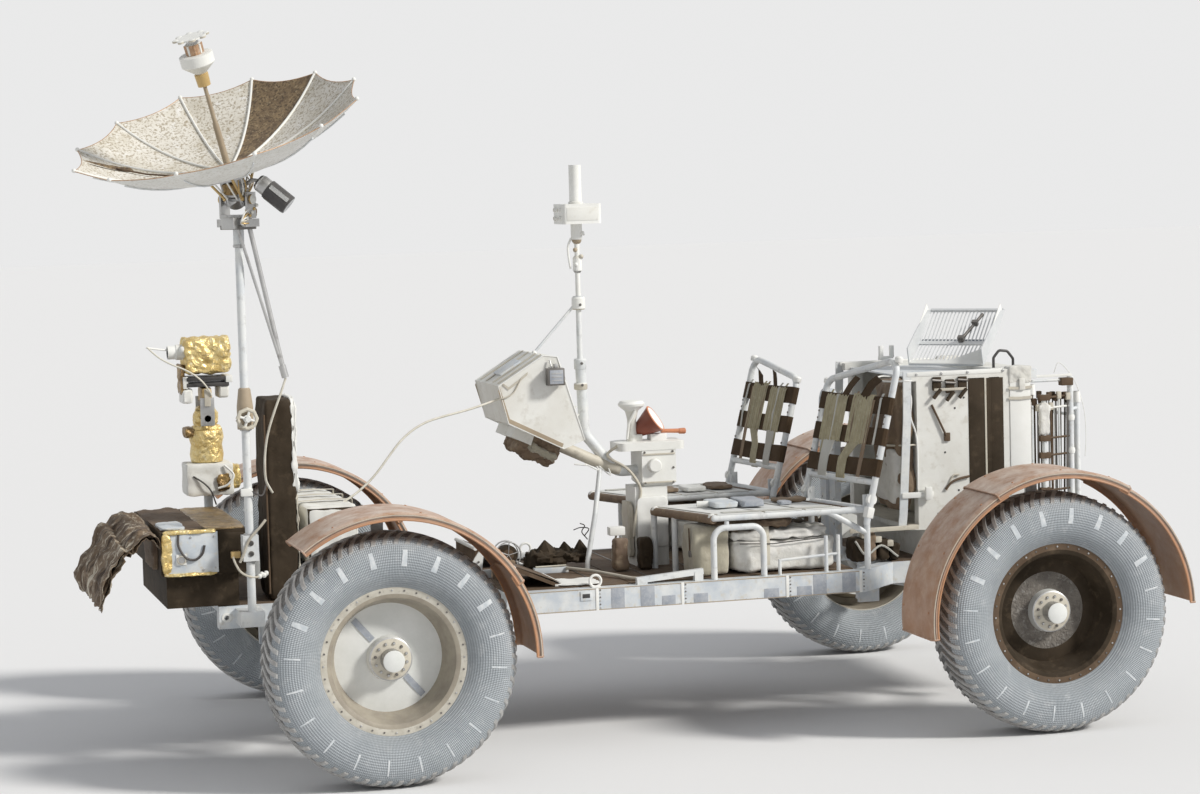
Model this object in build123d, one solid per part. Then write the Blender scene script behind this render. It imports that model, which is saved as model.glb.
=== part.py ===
from build123d import *
import os
from math import atan2, cos, degrees, pi, radians, sin, tan

# A two-seat planetary rover: a tube-and-box frame on four driven, steered wire wheels, with a dish,
# a camera, a control console, two webbed folding seats and a tool pallet. All sizes are in millimetres.
# +X is forward, +Y is the rover's left and +Z is up. X places are counted from the middle of the
# wheelbase, and save() moves each piece so that the origin is on the ground under the whole rover.
CENTRE_X = 208          # middle of the whole rover, from the middle of the wheelbase
SEAT_GAP = 0.3          # between a piece and what carries it, where they aren't face to face

# Wheels
WHEELBASE = 2286
TRACK = 1829
WHEEL_R = 409           # to the tips of the cleats
TYRE_WIDTH = 230
CLEAT_H = 5             # height of a cleat over the mesh
CLEATS = 20
CLEAT_REACH = 84        # from the middle of the tread to a cleat's end
CLEAT_BAR = 17          # width of a cleat's arm along the tread
CLEAT_SLANT = 46        # how far an arm runs along the tread
CLEAT_ROOT = 3          # how deep a cleat's foot sits in the mesh
CROWN_Y = 52            # half width of the level part of the tread
SHOULDER_DROP = 9       # from the crown down to the shoulder
SHOULDER_Y = 88
MESH_T = 5              # thickness of the wire mesh
BEAD_R = 238            # where the mesh meets the rim
BEAD_Y = 78
BULGE_R = 322
WALL_LOW = (272, 104)   # radius and half width of the wall's lower turn
FLANGE_R = 205          # inner edge of the rim's outer ring
DISC_R = 176
DISC_Y = -22            # hub disc, from the wheel's middle plane
RIM_T = 4
HUB_R = 70
HUB_END = 26
SPINDLE_R = 18          # the drive's output, at the back of the disc
CAP_R = 35
CAP_END = 76

# Steering and drives
KINGPIN_IN = 159.5      # from the wheel's middle plane in to the kingpin
KINGPIN_Y = TRACK / 2 - KINGPIN_IN
KINGPIN_R = 20
KINGPIN_LOW = 262
KINGPIN_HIGH = 560
BEARING_GAP = 0.3       # round the kingpin, inside an arm's eye
EYE_R = 31
EYE_H = 26
STAY_T = 11             # the stay that holds a fender
DRIVE_R = 92
DRIVE_END = -32         # outer end of the drive, from the wheel's middle plane

# Suspension arms: height of each wishbone, and where its two roots are
ARM_HEIGHTS = (310, 500)
ARM_SPREAD = 175        # from the axle to a wishbone's root, along X
ARM_TUBE_R = 14
ROOT_W = 34             # the lug at a wishbone's root: across, and along the rail
ROOT_L = 70
DAMPER_R = 20
DAMPER_ROD_R = 9

# Frame rails: a centre bay with narrower bays in front and behind
RAIL_LOW = 452
RAIL_H = 76
RAIL_W = 50
RAIL_TOP = RAIL_LOW + RAIL_H
CENTRE_HALF = 500       # outer face of a centre rail
END_HALF = 350          # outer face of an end rail
CENTRE_FRONT = 650
CENTRE_REAR = -640
TAPER_REAR = -800       # where a centre rail has come in to the aft rail
FORWARD_END = 1600
AFT_END = -1620
TIE_X = 1575            # tie-down hole through each rail's front end
TIE_Z = RAIL_LOW + RAIL_H / 2
TIE_R = 8
FLOOR_T = 4
FLOOR_TOP = RAIL_TOP + FLOOR_T
FLOOR_LAP = 5           # how far a floor panel lies on a rail
CROSS_R = 22
HOLD_R = 11             # tube of a handhold
HOLD_LOOP = (-94, -275, 704)    # its front x, rear x and the height of its top

# Fenders: angles are degrees from straight ahead, over the wheel's axle
FENDER_HALF = 145
FENDER_T = 4
FENDER_LIP = 24
FENDER_R = 482

# Seats: a pan's front and its hinge line are slanted in plan
SEAT_Z = 738
SEAT_TUBE_R = 12
HINGE_Z = 775
PIN_R = 6
EAR_T = 6
EAR_HALF = 15
POST_OUT = 30           # from an ear out to the post of the back
WEB_T = 2
RECLINE = 15
SEAT_OUT = CENTRE_HALF - 32
SEATS = {
    # hinge middle x, y; hinge line's slant; half length between ears; front corners x inboard, outboard;
    # length of the back's posts inboard, outboard
    "left": dict(x=-617, y=305, slant=13.7, half=175, front=(15, -100), posts=(405, 500)),
    "right": dict(x=-516, y=-340, slant=9.2, half=152, front=(-20, 75), posts=(394, 457)),
}

FRONT_LEG = 0.35        # where the second front leg stands, along the front tube
PAN_BANDS = [(0.08, 0.30), (0.33, 0.55), (0.58, 0.80)]      # start and end of each band, along the pan
BAND_Z = (110, 220, 330)                                    # middle of each band of a back, over its pivot
BAND_W = 64

# Console and the column in the middle
CONSOLE_SIDE = [(575, 1206), (542, 1073), (347, 977), (270, 1004), (362, 1299), (411, 1305)]
CONSOLE_HALF = 170
COLUMN_X = 233          # upright tube of the low-gain antenna
COLUMN_R = 19
SLEEVE_TOP = 1277
HEAD_Z = (1500, 1756, 1826, 1963)   # bottom of the turning rod, box bottom, box top, top of the antenna
PEDESTAL_TOP = 815
PLATFORM_Z = (945, 973)

# Masts
MAST_X = 1504
MAST_Y = 450
MAST_R = 14
MAST_TOP = 1790
MAST_FOOT = 470
DISH_AZ = 40.2          # where the dish points: from +X towards +Y, and up from level
DISH_EL = 69.3
DISH_PIVOT_Z = 1880
DISH_STANDOFF = 92      # from the elevation pivot to the dish's middle
DISH_R = 484            # to the tips of the ribs
DISH_DEPTH = 159
DISH_RIBS = 12
DISH_PHASE = 23.6       # first rib, round the dish's own axis
DISH_T = 3
SCALLOP = 17            # how far the mesh's edge curves in between two tips
RIB_W = 7
RIB_H = 6
FEED_LEN = 472
PIVOT_R = 7
CAMERA_X = 1520
CAMERA_Y = -350
CAMERA_PIVOT_Z = 1106
CAMERA_HALF = 66
CAMERA_EAR_IN = 48      # half width of the drum between the camera's ears
CAMERA_FOOT = (830, 950)

# Payload: the pallet behind the seats, the boxes in front and what stands on them
PALLET_X = (-1343, -870)
PALLET_HALF = 344
DECK_Z = 636
PALLET_TOP = 1194
CABINET_X = (-1343, -1222)
BOX_TOP = 790
RAKE_SIZE = (290, 290, 125, 26, 62)     # width, length of tines, where they bend, how far, depth of a side wall
RAKE_TINE = 4
RAKE_PITCH = 14.5
RAKE_LEAN = 36          # tines over level

LEFT_RIGHT = {"left": 1, "right": -1}
FRONT_REAR = {"front": 1, "rear": -1}


def save(name, *pieces):
    """Write one node's solids, moved to the part's own origin."""
    solids = [solid for piece in pieces for solid in piece.solids()]
    export_step(Pos(-CENTRE_X, 0, 0) * Compound(children=solids), f"parts/{name}.step")


def block(x, y, z):
    """A box between the lows and highs in x, y and z."""
    size = [high - low for low, high in (x, y, z)]
    middle = [(high + low) / 2 for low, high in (x, y, z)]
    return Pos(*middle) * Box(*size)


def bar(start, end, radius):
    """A round bar between two points."""
    start, end = Vector(*start), Vector(*end)
    along = end - start
    return Plane(origin=start, z_dir=along) * Cylinder(
        radius, along.length, align=(Align.CENTER, Align.CENTER, Align.MIN))


def strut(start, end, size):
    """A square bar between two points."""
    start, end = Vector(*start), Vector(*end)
    along = end - start
    return Plane(origin=start, z_dir=along) * Box(
        size, size, along.length, align=(Align.CENTER, Align.CENTER, Align.MIN))


def pipe(points, radius, bend):
    """A round tube along straight runs joined by arcs."""
    path = FilletPolyline(*points, radius=bend) if len(points) > 2 else Line(*points)
    return sweep(Plane(origin=path @ 0, z_dir=path % 0) * Circle(radius), path=path)


def profile_y(points, y):
    """A flat outline in X and Z, made solid between two values of y."""
    low, high = y
    outline = make_face(Polyline(*points, close=True))
    return extrude(Plane(origin=(0, low, 0), x_dir=(1, 0, 0), z_dir=(0, -1, 0)) * outline, -(high - low))


def plate_xy(points, z):
    """A flat outline in X and Y, made solid between two values of z."""
    low, high = z
    return Pos(0, 0, low) * extrude(make_face(Polyline(*points, close=True)), high - low)


def mirrored(piece, side):
    """The left side's piece, or its mirror image on the right side."""
    return piece if side > 0 else mirror(piece, Plane.XZ)


def ring_section(half):
    """A face in radius (X) and width (Y), from the points of its half at positive Y."""
    return make_face(Polyline(*half, *[(x, -y) for x, y in reversed(half)], close=True))


def around_axle(section):
    """Revolve a section drawn in radius (X) and width (Y) about the wheel's own axis, Y."""
    return revolve(section, Axis.Y, 360)


def make_tyre():
    """The wire-mesh tyre with its V-shaped cleats, about the origin."""
    crown = WHEEL_R - CLEAT_H
    outside = [(BEAD_R, BEAD_Y), WALL_LOW, (BULGE_R, TYRE_WIDTH / 2), (crown - SHOULDER_DROP, SHOULDER_Y),
               (crown, CROWN_Y)]
    inside = [(BEAD_R, BEAD_Y - MESH_T), (BULGE_R, TYRE_WIDTH / 2 - MESH_T), (crown - MESH_T, CROWN_Y)]
    mesh = around_axle(ring_section(outside) - ring_section(inside))
    fall = SHOULDER_DROP * (CLEAT_REACH - CROWN_Y) / (SHOULDER_Y - CROWN_Y)
    half = [(CROWN_Y, WHEEL_R), (CLEAT_REACH, WHEEL_R - fall), (CLEAT_REACH, crown - CLEAT_ROOT - fall),
            (CROWN_Y, crown - CLEAT_ROOT)]
    section = make_face(Polyline(*half, *[(-y, z) for y, z in reversed(half)], close=True))
    band = extrude(Plane.YZ * section, CLEAT_SLANT, both=True)
    v_shape = [(0, 0), (CLEAT_SLANT, CLEAT_REACH), (CLEAT_SLANT + CLEAT_BAR, CLEAT_REACH), (CLEAT_BAR, 0),
               (CLEAT_SLANT + CLEAT_BAR, -CLEAT_REACH), (CLEAT_SLANT, -CLEAT_REACH)]
    blank = plate_xy([(x - CLEAT_SLANT / 2, y) for x, y in v_shape], (crown - 2 * SHOULDER_DROP, WHEEL_R + 1))
    cleat = (blank & band).solids()[0]
    step = 360 / CLEATS
    return mesh + [cleat.rotate(Axis.Y, step * number) for number in range(CLEATS)]


def make_rim():
    """The spun rim: drum, outer ring, cone, recessed disc, hub and cap."""
    drum = (BEAD_R - RIM_T, BEAD_R)
    outline = [(drum[1], -BEAD_Y), (drum[1], BEAD_Y), (FLANGE_R, BEAD_Y), (DISC_R, DISC_Y + RIM_T),
               (HUB_R, DISC_Y + RIM_T), (HUB_R, HUB_END), (CAP_R, HUB_END + 6), (CAP_R, CAP_END), (0, CAP_END),
               (0, DRIVE_END + SEAT_GAP), (SPINDLE_R, DRIVE_END + SEAT_GAP), (SPINDLE_R, DISC_Y - RIM_T),
               (DISC_R + 4, DISC_Y - RIM_T), (FLANGE_R + 4, BEAD_Y - RIM_T),
               (drum[0], BEAD_Y - RIM_T), (drum[0], -BEAD_Y)]
    return around_axle(make_face(Polyline(*outline, close=True)))


def make_fender(sections):
    """Fender sections from a table of (start angle, end angle, extra radius, half width)."""
    shells = []
    for start, end, extra, half in sections:
        radius = FENDER_R + extra
        outline = [(radius - FENDER_LIP, half), (radius - 6, half), (radius, half - 14), (radius, 14 - half),
                   (radius - 6, -half), (radius - FENDER_LIP, -half), (radius - FENDER_LIP, FENDER_T - half),
                   (radius - 6 - FENDER_T / 2, FENDER_T - half), (radius - FENDER_T, 16 - half),
                   (radius - FENDER_T, half - 16), (radius - 6 - FENDER_T / 2, half - FENDER_T),
                   (radius - FENDER_LIP, half - FENDER_T)]
        shell = revolve(make_face(Polyline(*outline, close=True)), Axis.Y, start - end)
        shells.append(shell.rotate(Axis.Y, -start))
    return shells[0] + shells[1:] if len(shells) > 1 else shells[0]


def make_knuckle(fender_extra):
    """Kingpin, drive and the stay that holds the fender, for a left wheel whose centre is the origin."""
    pin_y = -KINGPIN_IN
    low, high = KINGPIN_LOW - WHEEL_R, KINGPIN_HIGH - WHEEL_R
    pin = bar((0, pin_y, low), (0, pin_y, high), KINGPIN_R)
    arm_heights = [height - WHEEL_R for height in ARM_HEIGHTS]
    gap = EYE_H / 2 + 1
    body = bar((0, pin_y, arm_heights[0] + gap), (0, pin_y, arm_heights[1] - gap), KINGPIN_R + 12)
    drive = bar((0, pin_y, 0), (0, DRIVE_END, 0), DRIVE_R - 24) + bar((0, pin_y + 50, 0), (0, DRIVE_END, 0), DRIVE_R)
    stay_in = -(FENDER_HALF - FENDER_T - SEAT_GAP)
    stay = block((-20, 20), (stay_in, stay_in + STAY_T), (high - STAY_T, FENDER_R + fender_extra - 9))
    foot = block((-20, 20), (pin_y, stay_in + STAY_T), (high - STAY_T, high))
    return pin + [body, drive, stay, foot]


def make_arms(axle_x):
    """Upper and lower wishbones of a left wheel: an eye round the kingpin and two legs to the end rail."""
    arms = []
    for height in ARM_HEIGHTS:
        low, high = height - EYE_H / 2, height + EYE_H / 2
        eye = bar((axle_x, KINGPIN_Y, low), (axle_x, KINGPIN_Y, high), EYE_R)
        arms.append(eye - bar((axle_x, KINGPIN_Y, low - 1), (axle_x, KINGPIN_Y, high + 1), KINGPIN_R + BEARING_GAP))
        for side in (1, -1):
            root_x = axle_x + side * ARM_SPREAD
            leg = bar((root_x, END_HALF + ROOT_W / 2, height), (axle_x, KINGPIN_Y, height), ARM_TUBE_R)
            root = block((root_x - ROOT_L / 2, root_x + ROOT_L / 2), (END_HALF, END_HALF + ROOT_W),
                         (height - ROOT_W / 2, height + ROOT_W / 2))
            room = bar((axle_x, KINGPIN_Y, low - EYE_H), (axle_x, KINGPIN_Y, high + EYE_H), EYE_R)
            beside = block((root_x - ROOT_L, root_x + ROOT_L), (END_HALF - ROOT_W, END_HALF), (low - EYE_H, high + EYE_H))
            arms.append(root + (leg - room - beside))
    return arms


def corners():
    """Each wheel's name, its X side and its Y side."""
    for end, x_side in FRONT_REAR.items():
        for side, y_side in LEFT_RIGHT.items():
            yield f"{end}_{side}", x_side, y_side


FENDER_SECTIONS = {
    # start, end, extra radius, half width
    1: [(52, 150, 0, FENDER_HALF), (146, 181, -6, FENDER_HALF - 4)],
    -1: [(60, 120, 8, FENDER_HALF), (-6, 64, 2, FENDER_HALF - 4), (116, 178, 2, FENDER_HALF - 4)],
}


def make_corners():
    tyre = make_tyre()
    rim = make_rim()
    knuckles = {1: make_knuckle(FENDER_SECTIONS[1][0][2]), -1: make_knuckle(FENDER_SECTIONS[-1][0][2])}
    for name, x_side, y_side in corners():
        axle = Pos(x_side * WHEELBASE / 2, TRACK / 2, WHEEL_R)
        save(f"tyre_{name}", mirrored(axle * tyre, y_side))
        save(f"rim_{name}", mirrored(axle * rim, y_side))
        save(f"knuckle_{name}", mirrored(axle * knuckles[x_side], y_side))
        fender = make_fender(FENDER_SECTIONS[x_side])
        save(f"fender_{name}", mirrored(axle * fender, y_side))


def make_frame():
    height = (RAIL_LOW, RAIL_TOP)
    inner_rear = CENTRE_REAR + RAIL_W * tan(radians(22))
    centre = plate_xy([(CENTRE_FRONT, CENTRE_HALF), (CENTRE_FRONT, CENTRE_HALF - RAIL_W),
                       (inner_rear, CENTRE_HALF - RAIL_W), (TAPER_REAR, END_HALF - RAIL_W - 10),
                       (TAPER_REAR, END_HALF), (CENTRE_REAR, CENTRE_HALF)], height)
    forward = block((CENTRE_FRONT, FORWARD_END), (END_HALF - RAIL_W, END_HALF), height)
    forward -= bar((TIE_X, END_HALF - RAIL_W, TIE_Z), (TIE_X, END_HALF, TIE_Z), TIE_R)
    aft = block((AFT_END, TAPER_REAR), (END_HALF - RAIL_W, END_HALF), height)
    save("side_rails", *[mirrored(rail, side) for rail in (centre, forward, aft) for side in (1, -1)])
    cross = []
    for x, half in ((600, CENTRE_HALF), (260, CENTRE_HALF), (-150, CENTRE_HALF), (-560, CENTRE_HALF),
                    (880, END_HALF), (1400, END_HALF), (-880, END_HALF), (-1400, END_HALF)):
        reach = half - RAIL_W
        cross.append(bar((x, -reach, RAIL_LOW + CROSS_R), (x, reach, RAIL_LOW + CROSS_R), CROSS_R))
    for x in (FORWARD_END - 80, AFT_END + 40):
        reach = END_HALF - RAIL_W
        cross.append(block((x - 25, x + 25), (-reach, reach), height))
    reach = CENTRE_HALF - RAIL_W
    cross.append(block((CENTRE_FRONT - 30, CENTRE_FRONT), (-reach, reach), height))
    save("cross_members", *cross)
    centre_half = CENTRE_HALF - RAIL_W + FLOOR_LAP
    end_half = END_HALF - 10
    gap = FLOOR_T
    panels = [((CENTRE_REAR + 30, 200), centre_half), ((200 + gap, CENTRE_FRONT - gap), centre_half),
              ((CENTRE_FRONT + gap, FORWARD_END), end_half), ((AFT_END, TAPER_REAR), end_half)]
    save("floor_panels", *[block(x, (-half, half), (RAIL_TOP, FLOOR_TOP)) for x, half in panels])
    arms, brackets, dampers = [], [], []
    for name, x_side, y_side in corners():
        axle_x = x_side * WHEELBASE / 2
        arms += [mirrored(arm, y_side) for arm in make_arms(axle_x)]
        for x in (axle_x - ARM_SPREAD, axle_x + ARM_SPREAD):
            plate = block((x - 40, x + 40), (END_HALF - 20, END_HALF), (ARM_HEIGHTS[0] - 25, RAIL_LOW))
            brackets.append(mirrored(plate, y_side))
        dampers.append(mirrored(make_damper(axle_x), y_side))
    save("suspension_arms", *arms)
    save("suspension_brackets", *brackets)
    save("suspension_dampers", *dampers)


def make_damper(axle_x):
    """The damper between the wishbones of a left wheel, leaning out from a foot on the end rail's side."""
    low = (axle_x, END_HALF + DAMPER_R + SEAT_GAP, ARM_HEIGHTS[0] + 40)
    middle = (axle_x, END_HALF + 110, 430)
    high = (axle_x, END_HALF + 170, 466)
    foot = block((axle_x - DAMPER_R, axle_x + DAMPER_R), (END_HALF + SEAT_GAP, low[1]),
                 (low[2] - DAMPER_R, RAIL_LOW + DAMPER_R))
    return foot + bar(low, middle, DAMPER_R) + bar(middle, high, DAMPER_ROD_R)


def make_side_fittings():
    """What stands on the centre rails: a handhold loop on each side, the latch bar and the slim posts."""
    y = CENTRE_HALF - RAIL_W / 2 + 3
    loops = []
    for side in (1, -1):
        front, rear, top = HOLD_LOOP
        loop = pipe([(front, y, RAIL_TOP), (front, y, top), (rear, y, top), (rear, y, RAIL_TOP)], HOLD_R, 42)
        loop += bar((front - 50, y - 4, top), (front - 50, y - 4, SEAT_Z - SEAT_TUBE_R - SEAT_GAP), HOLD_R - 3)
        loops.append(mirrored(loop, side))
    save("outboard_handholds", *loops)
    latch = strut((-52, y, RAIL_TOP + 32), (186, y, RAIL_TOP + 14), 20) + block((150, 186), (y - 12, y + 12), (RAIL_TOP, 545))
    latch += block((-50, -20), (y - 12, y + 12), (RAIL_TOP, 560))
    posts = [bar((x, y - 4, RAIL_TOP), (x, y - 4, 655), 7) for x in (-505, -550)]
    posts = posts[0] + posts[1] + bar((-550, y - 4, 590), (-330, y - 4, 578), 5) + bar((-334, y - 4, RAIL_TOP), (-334, y - 4, 582), 6)
    save("rail_fittings", latch, posts)


def make_footwell():
    """Sloping footrests ahead of the seats, and what lies on the floor between them."""
    rests = []
    for side in (1, -1):
        rest = profile_y([(430, FLOOR_TOP), (600, 610), (606, 598), (606, FLOOR_TOP), (596, FLOOR_TOP), (596, 592), (456, FLOOR_TOP)],
                         (130, 430))
        rests.append(mirrored(rest, side))
    save("footrests", *rests)
    unit = block((330, 440), (-120, 60), (FLOOR_TOP, 572)) + block((350, 420), (-90, 30), (572, 592))
    reel = bar((520, -10, 590), (520, 40, 590), 42) + block((500, 540), (-10, 40), (FLOOR_TOP, 575))
    gusset = profile_y([(606.3 - 0.3, 640), (672, 640), (672, FLOOR_TOP), (660, FLOOR_TOP)], (96, 108))
    save("floor_units", unit, reel, gusset)


def seat_line(seat, reach):
    """The plan point of a hinge line, at a reach along it from its middle towards +Y."""
    slant = radians(seat["slant"])
    return seat["x"] - reach * sin(slant), seat["y"] + reach * cos(slant)


def between(start, end, share):
    """The plan point at a share of the way between two others."""
    return start[0] + (end[0] - start[0]) * share, start[1] + (end[1] - start[1]) * share


def make_seats():
    pans, webs, bags = [], [], []
    for name, side in LEFT_RIGHT.items():
        seat = SEATS[name]
        half = seat["half"]
        rear_in, rear_out = seat_line(seat, -side * half), seat_line(seat, side * half)
        front_in = (seat["front"][0], rear_in[1])
        front_out = (seat["front"][1], side * SEAT_OUT)
        plan = [front_in, front_out, rear_out, rear_in]
        tubes = [bar((*plan[number - 1], SEAT_Z), (*plan[number], SEAT_Z), SEAT_TUBE_R) for number in range(4)]
        tubes += [Pos(x, y, SEAT_Z) * Sphere(SEAT_TUBE_R) for x, y in plan]
        legs = [bar((x, y, FLOOR_TOP), (x, y, SEAT_Z), SEAT_TUBE_R - 1)
                for x, y in (front_in, between(front_in, front_out, FRONT_LEG), rear_in)]
        legs.append(bar((*rear_out, RAIL_TOP), (*rear_out, SEAT_Z), SEAT_TUBE_R - 1))
        rail = pipe([(*between(front_out, rear_out, 0.25), SEAT_Z), (*between(front_out, rear_out, 0.74), SEAT_Z),
                     (*rear_out, SEAT_Z - 84)], SEAT_TUBE_R - 2, 60)
        hinge = Pos(seat["x"], seat["y"], HINGE_Z) * Rot(0, 0, seat["slant"])
        ears = [hinge * block((-EAR_HALF, EAR_HALF), (y - EAR_T / 2, y + EAR_T / 2), (SEAT_Z - HINGE_Z, EAR_HALF))
                for y in (-half, half)]
        hole = hinge * bar((0, -half - POST_OUT, 0), (0, half + POST_OUT, 0), PIN_R + SEAT_GAP)
        pans.append(tubes[0] + tubes[1:] + legs + rail + ears - hole)
        web_z = (SEAT_Z + SEAT_TUBE_R + SEAT_GAP, SEAT_Z + SEAT_TUBE_R + SEAT_GAP + WEB_T)
        for start, end in PAN_BANDS:
            corners_ = [between(front_in, rear_in, start), between(front_in, rear_in, end),
                        between(front_out, rear_out, end), between(front_out, rear_out, start)]
            webs.append(plate_xy(corners_, web_z))
        outer, inner = side * (half + POST_OUT), -side * (half + POST_OUT)
        length_in, length_out = seat["posts"]
        frame = pipe([(0, outer, -90), (0, outer, length_out), (0, inner, length_in), (0, inner, -50)], SEAT_TUBE_R, 45)
        frame += bar((0, outer, 60), (0, inner, 60), SEAT_TUBE_R - 1)
        frame += [bar((0, y, 0), (0, y * (half - EAR_T) / (half + POST_OUT), 0), PIN_R) for y in (outer, inner)]
        place = hinge * Rot(0, -RECLINE, 0)
        save(f"seat_back_frame_{name}", place * frame)
        low, high = sorted((inner, outer))
        bands = [block((SEAT_TUBE_R + SEAT_GAP, SEAT_TUBE_R + SEAT_GAP + WEB_T), (low, high),
                       (z - BAND_W / 2, z + BAND_W / 2)) for z in BAND_Z]
        save(f"seat_back_webbing_{name}", place * Compound(children=bands))
        bags.append(mirrored(block((-165, -35), (300, 440), (FLOOR_TOP + SEAT_GAP, 712)), side))
        bags.append(mirrored(block((-560, -180), (240, 440), (FLOOR_TOP + SEAT_GAP, 655)), side))
    save("seat_pans", *pans)
    save("seat_pan_webbing", *webs)
    save("under_seat_bags", *bags)
    paddle = block((-712, -690), (-78, 78), (FLOOR_TOP, 1128))
    paddle = fillet(paddle.edges().filter_by(Axis.X).group_by(Axis.Z)[-1], 60)
    save("centre_panel", paddle)


def make_console():
    body = profile_y(CONSOLE_SIDE, (-CONSOLE_HALF, CONSOLE_HALF))
    tray = profile_y([(505, 1055), (440, 1022), (452, 990), (520, 1022)], (-120, 120))
    panel = profile_y([(278, 1025), (355, 1275), (347, 1277.5), (270, 1027.5)], (-150, 150))
    save("console", body + tray + panel)
    gauge = block((352, 404), (CONSOLE_HALF + SEAT_GAP, CONSOLE_HALF + 46), (1206, 1258))
    save("console_gauge", gauge)
    post = pipe([(COLUMN_X, 0, SLEEVE_TOP), (COLUMN_X - 9, 0, 1009), (110, 0, 870), (34 + SEAT_GAP, 0, 870)], COLUMN_R, 50)
    rod = bar((COLUMN_X, 0, SLEEVE_TOP + SEAT_GAP), (COLUMN_X, 0, HEAD_Z[0]), 10)
    rod += bar((COLUMN_X, 0, 1455), (COLUMN_X, 0, HEAD_Z[0]), 20)
    stay = bar((COLUMN_X + 14, 0, 1470), (400, 0, 1306), 5) - body
    arm = bar((110, 0, 878), (360, 0, 1000), 16) - (body + tray + panel)
    brace = pipe([(165, 0, 920), (212, 70, 730), (254, 100, 560), (254, 100, FLOOR_TOP)], 9, 30)
    save("inboard_handhold", (post + arm + brace).solids().sort_by(SortBy.VOLUME)[-1], (rod + stay).solids().sort_by(SortBy.VOLUME)[-1])
    low, box_low, box_high, top = HEAD_Z
    head = bar((COLUMN_X, 0, low + SEAT_GAP), (COLUMN_X, 0, box_low), 9)
    head += bar((COLUMN_X, 0, 1600), (COLUMN_X, 0, 1640), 14) + bar((COLUMN_X, 0, 1700), (COLUMN_X, 0, box_low), 20)
    box = block((COLUMN_X - 75, COLUMN_X + 65), (-70, 70), (box_low, box_high))
    head += fillet(box.edges().filter_by(Axis.Z), 12)
    antenna = bar((COLUMN_X, 0, box_high), (COLUMN_X, 0, top), 22)
    save("low_gain_antenna", head + antenna)
    pedestal = block((-60, 60), (-60, 60), (FLOOR_TOP, PEDESTAL_TOP))
    box = block((-92, 34), (-70, 70), (PEDESTAL_TOP, PLATFORM_Z[0]))
    box = chamfer(box.edges().group_by(Axis.Z)[0], 14)
    platform = block((-129, 116), (-72, 72), PLATFORM_Z)
    platform = fillet(platform.edges().filter_by(Axis.Z), 24)
    knob = bar((-10, 70, 890), (-10, 88, 890), 22)
    save("control_pedestal", pedestal + box + platform + knob)
    top = PLATFORM_Z[1]
    grip = revolve(Plane.XZ * make_face(Polyline((0, 0), (24, 0), (18, 96), (38, 112), (38, 138), (24, 158), (0, 158), close=True)), Axis.Z)
    cone = revolve(Plane.XZ * make_face(Polyline((0, 0), (52, 0), (52, 12), (26, 74), (0, 74), close=True)), Axis.Z)
    save("hand_controller", Pos(38, 0, top) * grip, Pos(-66, 0, top) * cone)


def dish_gore():
    """One flat-sided gore of the mesh: a strip curved along its middle, cut to its sector and scalloped edge."""
    half = 180 / DISH_RIBS
    radius = (DISH_R ** 2 + DISH_DEPTH ** 2) / (2 * DISH_DEPTH)
    edge = DISH_R * cos(radians(half))
    drop = radius - (radius ** 2 - (DISH_R / 2) ** 2) ** 0.5
    top = ThreePointArc((0, 0), (edge / 2, drop), (edge, DISH_DEPTH))
    low = ThreePointArc((0, -DISH_T), (edge / 2, drop - DISH_T), (edge, DISH_DEPTH - DISH_T))
    face = make_face(top + low + Line(top @ 0, low @ 0) + Line(top @ 1, low @ 1))
    strip = extrude(Plane.XZ * face, DISH_R / 2, both=True)
    tip = edge * tan(radians(half))
    sector = make_face(Line((0, 0), (edge, tip)) + ThreePointArc((edge, tip), (edge - SCALLOP, 0), (edge, -tip))
                       + Line((edge, -tip), (0, 0)))
    return strip & (Pos(0, 0, -2 * DISH_T) * extrude(sector, 2 * DISH_DEPTH))


def dish_rib():
    """One rib, standing on the mesh from the hub to its tip."""
    radius = (DISH_R ** 2 + DISH_DEPTH ** 2) / (2 * DISH_DEPTH)
    drop = radius - (radius ** 2 - (DISH_R / 2) ** 2) ** 0.5
    tip = DISH_R + 4
    low = ThreePointArc((0, -DISH_T), (tip / 2, drop - DISH_T), (tip, DISH_DEPTH - DISH_T))
    top = ThreePointArc((0, RIB_H), (tip / 2, drop + RIB_H), (tip, DISH_DEPTH + RIB_H))
    face = make_face(top + low + Line(top @ 0, low @ 0) + Line(top @ 1, low @ 1))
    return extrude(Plane.XZ * face, RIB_W / 2, both=True)


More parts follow.
